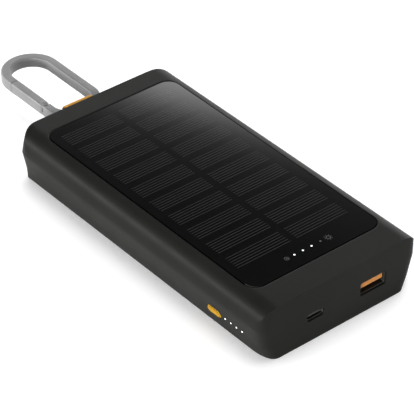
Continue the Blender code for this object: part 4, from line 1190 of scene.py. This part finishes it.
def webbing_finish():
    """Orange polyester webbing: deep seams between the ribs, soft fibre sheen, painted shade in the seams.
    """
    finish, tree, shader, place = new_finish("orange_webbing")
    weave = tree.nodes.new("ShaderNodeAttribute")
    weave.attribute_name = "weave_height"
    thread = tree.nodes.new("ShaderNodeMix")
    thread.data_type = "RGBA"
    mottle(tree, place, thread.inputs[0], 2.5 * MM, 0.0, 0.35, 3.0)
    # painted shade: the colour runs from dark in the low seams to light on the rib crowns, by weave height
    feed(tree, ramp(tree, weave.outputs["Fac"], (0.05, (0.20, 0.082, 0.005)), (0.75, (0.48, 0.225, 0.017))),
         thread.inputs[6])
    thread.inputs[7].default_value = (0.32, 0.14, 0.012, 1.0)
    feed(tree, thread.outputs[2], shader.inputs["Base Color"])
    feed(tree, ramp(tree, weave.outputs["Fac"], (0.0, 0.92), (1.0, 0.72)), shader.inputs["Roughness"])
    shader.inputs["Sheen Weight"].default_value = 0.06
    shader.inputs["Sheen Roughness"].default_value = 0.4
    shader.inputs["Specular IOR Level"].default_value = 0.12
    bump(tree, shader, noise(tree, place, 0.12 * MM, 3.0), 0.5, 0.03 * MM)
    return finish


def make_webbing():
    line = webbing_line()
    count = len(line)
    columns = round(2 * STRAP_HALF_X / RIB_PITCH * RIB_POINTS)
    edge = STRAP_THICK / 2
    bm = bmesh.new()
    heights, rings = [], []
    for k, point in enumerate(line):
        ahead = line[(k + 1) % count] - line[k - 1]
        normal = Vector((-ahead.y, ahead.x)).normalized()
        ring = []
        for face in (1, -1):
            for i in range(columns + 1):
                u = face * STRAP_HALF_X * (2 * i / columns - 1)
                inward = max(abs(u) - (STRAP_HALF_X - edge), 0) / edge
                rise = webbing_weave(u, k * WEB_STEP)
                high = edge * sqrt(max(1 - inward ** 2, 0)) - RIB_HIGH * (1 - rise) * (1 - 0.7 * inward)
                high = max(high, 0.02 * MM) * face
                ring.append(bm.verts.new((u, point.x + normal.x * high,
                                          RING_Z + point.y + normal.y * high)))
                heights.append(rise)
        rings.append(ring)
    for k, ring in enumerate(rings):
        after = rings[(k + 1) % count]
        for i in range(len(ring)):
            j = (i + 1) % len(ring)
            bm.faces.new((ring[i], ring[j], after[j], after[i]))
    webbing = mesh_piece("strap_webbing", bm, webbing_finish(), 75)
    attribute = webbing.data.attributes.new("weave_height", "FLOAT", "POINT")
    attribute.data.foreach_set("value", heights)
    return webbing


def thread_loop(bm, start, end, radius, lift):
    """One stitch: a short thread that rises out of the webbing and goes back in."""
    steps, sides = 8, 6
    rings = []
    for i in range(steps + 1):
        centre = start.lerp(end, i / steps) + lift * sin(pi * i / steps)
        turns = [2 * pi * j / sides for j in range(sides)]
        rings.append([centre + radius * Vector((0, cos(turn), 0)) + Vector((0, 0, radius * sin(turn)))
                      for turn in turns])
    loft(rings, bm)


def make_stitching():
    """Two rows of stitches across the strap, on both faces, outside the slot."""
    bm = bmesh.new()
    surface = SLOT_HALF_GAP + STRAP_THICK / 2 - STITCH_SUNK
    pitch = STITCH_LENGTH + STITCH_GAP
    count = int((2 * STRAP_HALF_X - 2 * STITCH_MARGIN) / pitch)
    for face in (1, -1):
        for y in STITCH_ROWS_Y:
            for i in range(count):
                x = (i - (count - 1) / 2) * pitch
                start = Vector((x - STITCH_LENGTH / 2, y, RING_Z + face * surface))
                end = Vector((x + STITCH_LENGTH / 2, y, RING_Z + face * surface))
                thread_loop(bm, start, end, STITCH_THREAD, Vector((0, 0, face * STITCH_LIFT)))
    return mesh_piece("strap_stitching", bm, thread_finish())


def thread_finish():
    """Sewing thread, a shade darker than the webbing."""
    finish, tree, shader, place = new_finish("orange_sewing_thread")
    mottle(tree, place, shader.inputs["Base Color"], 0.25 * MM, (0.20, 0.08, 0.015), (0.34, 0.15, 0.03),
           spread=(0.35, 0.65))
    mottle(tree, place, shader.inputs["Roughness"], 0.5 * MM, 0.6, 0.75)
    shader.inputs["Sheen Weight"].default_value = 0.2
    bump(tree, shader, noise(tree, place, 0.1 * MM, 2.0), 0.5, 0.02 * MM)
    return finish


webbing = make_webbing()
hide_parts("strap_loop", "strap_tail")
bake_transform(webbing)
stitching = make_stitching()
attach(stitching, "strap")
dress(moulded("black_bracket", (0.010, 0.010, 0.010), (0.020, 0.020, 0.020), 0.3 * MM, 0.5), "strap_bracket")
dress(plated_steel, "strap_anchor_pin", "strap_screw_1", "strap_screw_2")

# ---------------------------------------------------------------- the carabiner
# A forged aluminium ring of flat-sided bar with a satin grey coat. Its gate turns on a steel rivet and a
# small coil spring holds it shut against the nose of the ring.

LEG = (4.1 * MM, 5.2 * MM)
NEAR_BAR = (3.6 * MM, 3.8 * MM)
RING_ROUND = 0.8 * MM
NEAR_BEND_R = 6.0 * MM
KNUCKLE_R = 2.1 * MM
SEAT_R = 2.6 * MM
TONGUE_THICK = 1.3 * MM
RIVET_R = 0.6 * MM
RIVET_HEAD_R = 1.45 * MM
RIVET_PROUD = 0.42 * MM
FORK_REACH = 4.0 * MM
FORK_SKIN_X = 1.65 * MM
RIVET_SIDES = 32
RIVET_PLAY = 0.1 * MM
TONGUE_REACH = 5.0 * MM
TONGUE_RS = (1.5 * MM, 1.55 * MM)
FORK_PLAY = 0.2 * MM
FORK_END = 2.6 * MM
FORK_HEEL = 1.0 * MM
SPRING_BORE = (1.3 * MM, 2.0 * MM, 11.0 * MM)
CUT_HALF = 5 * MM
GATE_GAP = 0.3 * MM
GATE_PIVOT = joint_points["gate_open"]
LEG_X = -GATE_PIVOT.x
FAR_BEND_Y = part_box("carabiner_frame")[1][1] - LEG_X - LEG[0] / 2
GATE_END_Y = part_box("carabiner_gate")[1][1]


def ring_coat():
    """Satin grey coating over forged metal: fine even grain and a soft drift of tone."""
    return plain_finish("satin_grey_ring_coat", (8 * MM, (0.124, 0.124, 0.125), (0.145, 0.145, 0.146), 3.0),
                        (1.5 * MM, 0.38, 0.48, 3.0), (0.18 * MM, 3.0, 0.35, 0.02 * MM), metallic=0.1)


def sweep_ring(stations):
    """Sweep the bar's rounded section along (x, y, heading, (width, thickness)) stations."""
    rings = []
    for x, y, heading, (width, thick) in stations:
        side = (sin(heading), -cos(heading))
        section = round_box(width / 2, thick / 2, min(RING_ROUND, 0.45 * width), steps=5)
        rings.append([(x + side[0] * u, y + side[1] * u, RING_Z + v) for u, v in section])
    return loft(rings)


def bend(centre, radius, start, end, steps, first=LEG, last=LEG):
    """Stations on an arc whose section eases from the first size to the last."""
    stations = []
    for i in range(steps + 1):
        part = i / steps
        angle = start + (end - start) * part
        ease = part * part * (3 - 2 * part)
        size = tuple(a + (b - a) * ease for a, b in zip(first, last))
        stations.append((centre[0] + radius * cos(angle), centre[1] + radius * sin(angle),
                         angle + pi / 2, size))
    return stations


def hull_of_circles(first, first_r, second, second_r, steps=16):
    """Outline round two circles that lie along the u axis, joined by their tangents."""
    lean = asin((second_r - first_r) / (second - first))
    outline = []
    for centre, radius, start, sweep in ((second, second_r, -pi / 2 - lean, pi + 2 * lean),
                                         (first, first_r, pi / 2 + lean, pi - 2 * lean)):
        for i in range(steps + 1):
            angle = start + sweep * i / steps
            outline.append((centre + radius * cos(angle), radius * sin(angle)))
    return outline


def make_ring(finish):
    """The open ring, its concave seat and tongue for the gate, and the rivet hole."""
    x, near_r = LEG_X, NEAR_BEND_R
    stations = [(-x, GATE_PIVOT.y - KNUCKLE_R + 0.2 * MM, -pi / 2, LEG)]
    stations += bend((-x + near_r, BAR.y + near_r), near_r, pi, 1.5 * pi, 18, LEG, NEAR_BAR)
    stations += bend((x - near_r, BAR.y + near_r), near_r, 1.5 * pi, 2 * pi, 18, NEAR_BAR, LEG)
    stations += bend((0, FAR_BEND_Y), x, 0, pi, 48)
    stations += [(-x, GATE_END_Y + GATE_GAP, 1.5 * pi, LEG)]
    ring = mesh_piece("carabiner_ring", sweep_ring(stations), finish)
    tall = (RING_Z - CUT_HALF, RING_Z + CUT_HALF)
    carve(ring, prism(circle(SEAT_R, (-x, GATE_PIVOT.y), 48), "Z", *tall))
    tongue = [(-v - x, u + GATE_PIVOT.y)
              for u, v in hull_of_circles(-TONGUE_REACH, TONGUE_RS[0], 0.0, TONGUE_RS[1])]
    carve(ring, prism(tongue, "Z", RING_Z - TONGUE_THICK / 2, RING_Z + TONGUE_THICK / 2), "UNION")
    carve(ring, prism(circle(RIVET_R + RIVET_PLAY, (-x, GATE_PIVOT.y), 24), "Z", *tall))
    level_faces(ring)
    return ring


def make_gate(finish):
    """The straight gate: round knuckle end, forked over the ring's tongue, bored for its spring."""
    x, y = GATE_PIVOT.x, GATE_PIVOT.y
    stations = []
    for step in range(1, 15):
        turn = pi / 2 * step / 14
        stations.append((x, y - KNUCKLE_R * cos(turn), pi / 2, (LEG[0] * sin(turn), LEG[1])))
    gate = mesh_piece("carabiner_gate_bar", sweep_ring(stations + [(x, GATE_END_Y, pi / 2, LEG)]), finish)
    half = TONGUE_THICK / 2 + FORK_PLAY
    far, skin = FORK_REACH, FORK_SKIN_X
    fork = [(x - far, y - far), (x + far, y - far), (x + far, y + FORK_END), (x - skin, y + FORK_END),
            (x - skin, y - FORK_HEEL), (x - far, y - FORK_HEEL)]
    carve(gate, prism(fork, "Z", RING_Z - half, RING_Z + half))
    carve(gate, prism(circle(RIVET_R + RIVET_PLAY, (x, y), 24), "Z", RING_Z - CUT_HALF, RING_Z + CUT_HALF))
    radius, start, end = SPRING_BORE
    carve(gate, prism(circle(radius, (x, RING_Z), 24), "Y", y + start, y + end))
    level_faces(gate)
    return gate


def make_rivet(finish):
    """Through rivet with a low domed head on each side of the gate."""
    face = LEG[1] / 2 + 0.01 * MM
    half = [(0.0, face + RIVET_PROUD)]
    half += [(RIVET_HEAD_R * sin(radians(turn)), face + RIVET_PROUD * cos(radians(turn)) ** 0.6)
             for turn in (15, 30, 45, 60, 72, 82, 90)]
    half.append((RIVET_R, face))
    profile = half + [(radius, -height) for radius, height in reversed(half)]
    bm = bmesh.new()
    rings = []
    for radius, height in profile:
        if radius == 0:
            rings.append([bm.verts.new((GATE_PIVOT.x, GATE_PIVOT.y, RING_Z + height))])
        else:
            rings.append([bm.verts.new((u, v, RING_Z + height)) for u, v in
                          circle(radius, (GATE_PIVOT.x, GATE_PIVOT.y), RIVET_SIDES)])
    for high, low in zip(rings, rings[1:]):
        for i in range(RIVET_SIDES):
            j = (i + 1) % RIVET_SIDES
            if len(high) == 1:
                bm.faces.new((high[0], low[j], low[i]))
            elif len(low) == 1:
                bm.faces.new((high[i], high[j], low[0]))
            else:
                bm.faces.new((high[i], high[j], low[j], low[i]))
    return mesh_piece("gate_rivet", bm, finish)


grey_coat = ring_coat()
ring, gate, rivet = make_ring(grey_coat), make_gate(grey_coat), make_rivet(grey_coat)
for piece, node, body in ((ring, "carabiner_frame", "carabiner"), (gate, "carabiner_gate", "gate"),
                          (rivet, "gate_pin", "carabiner")):
    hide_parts(node)
    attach(piece, body)
dress(plated_steel, "gate_spring")
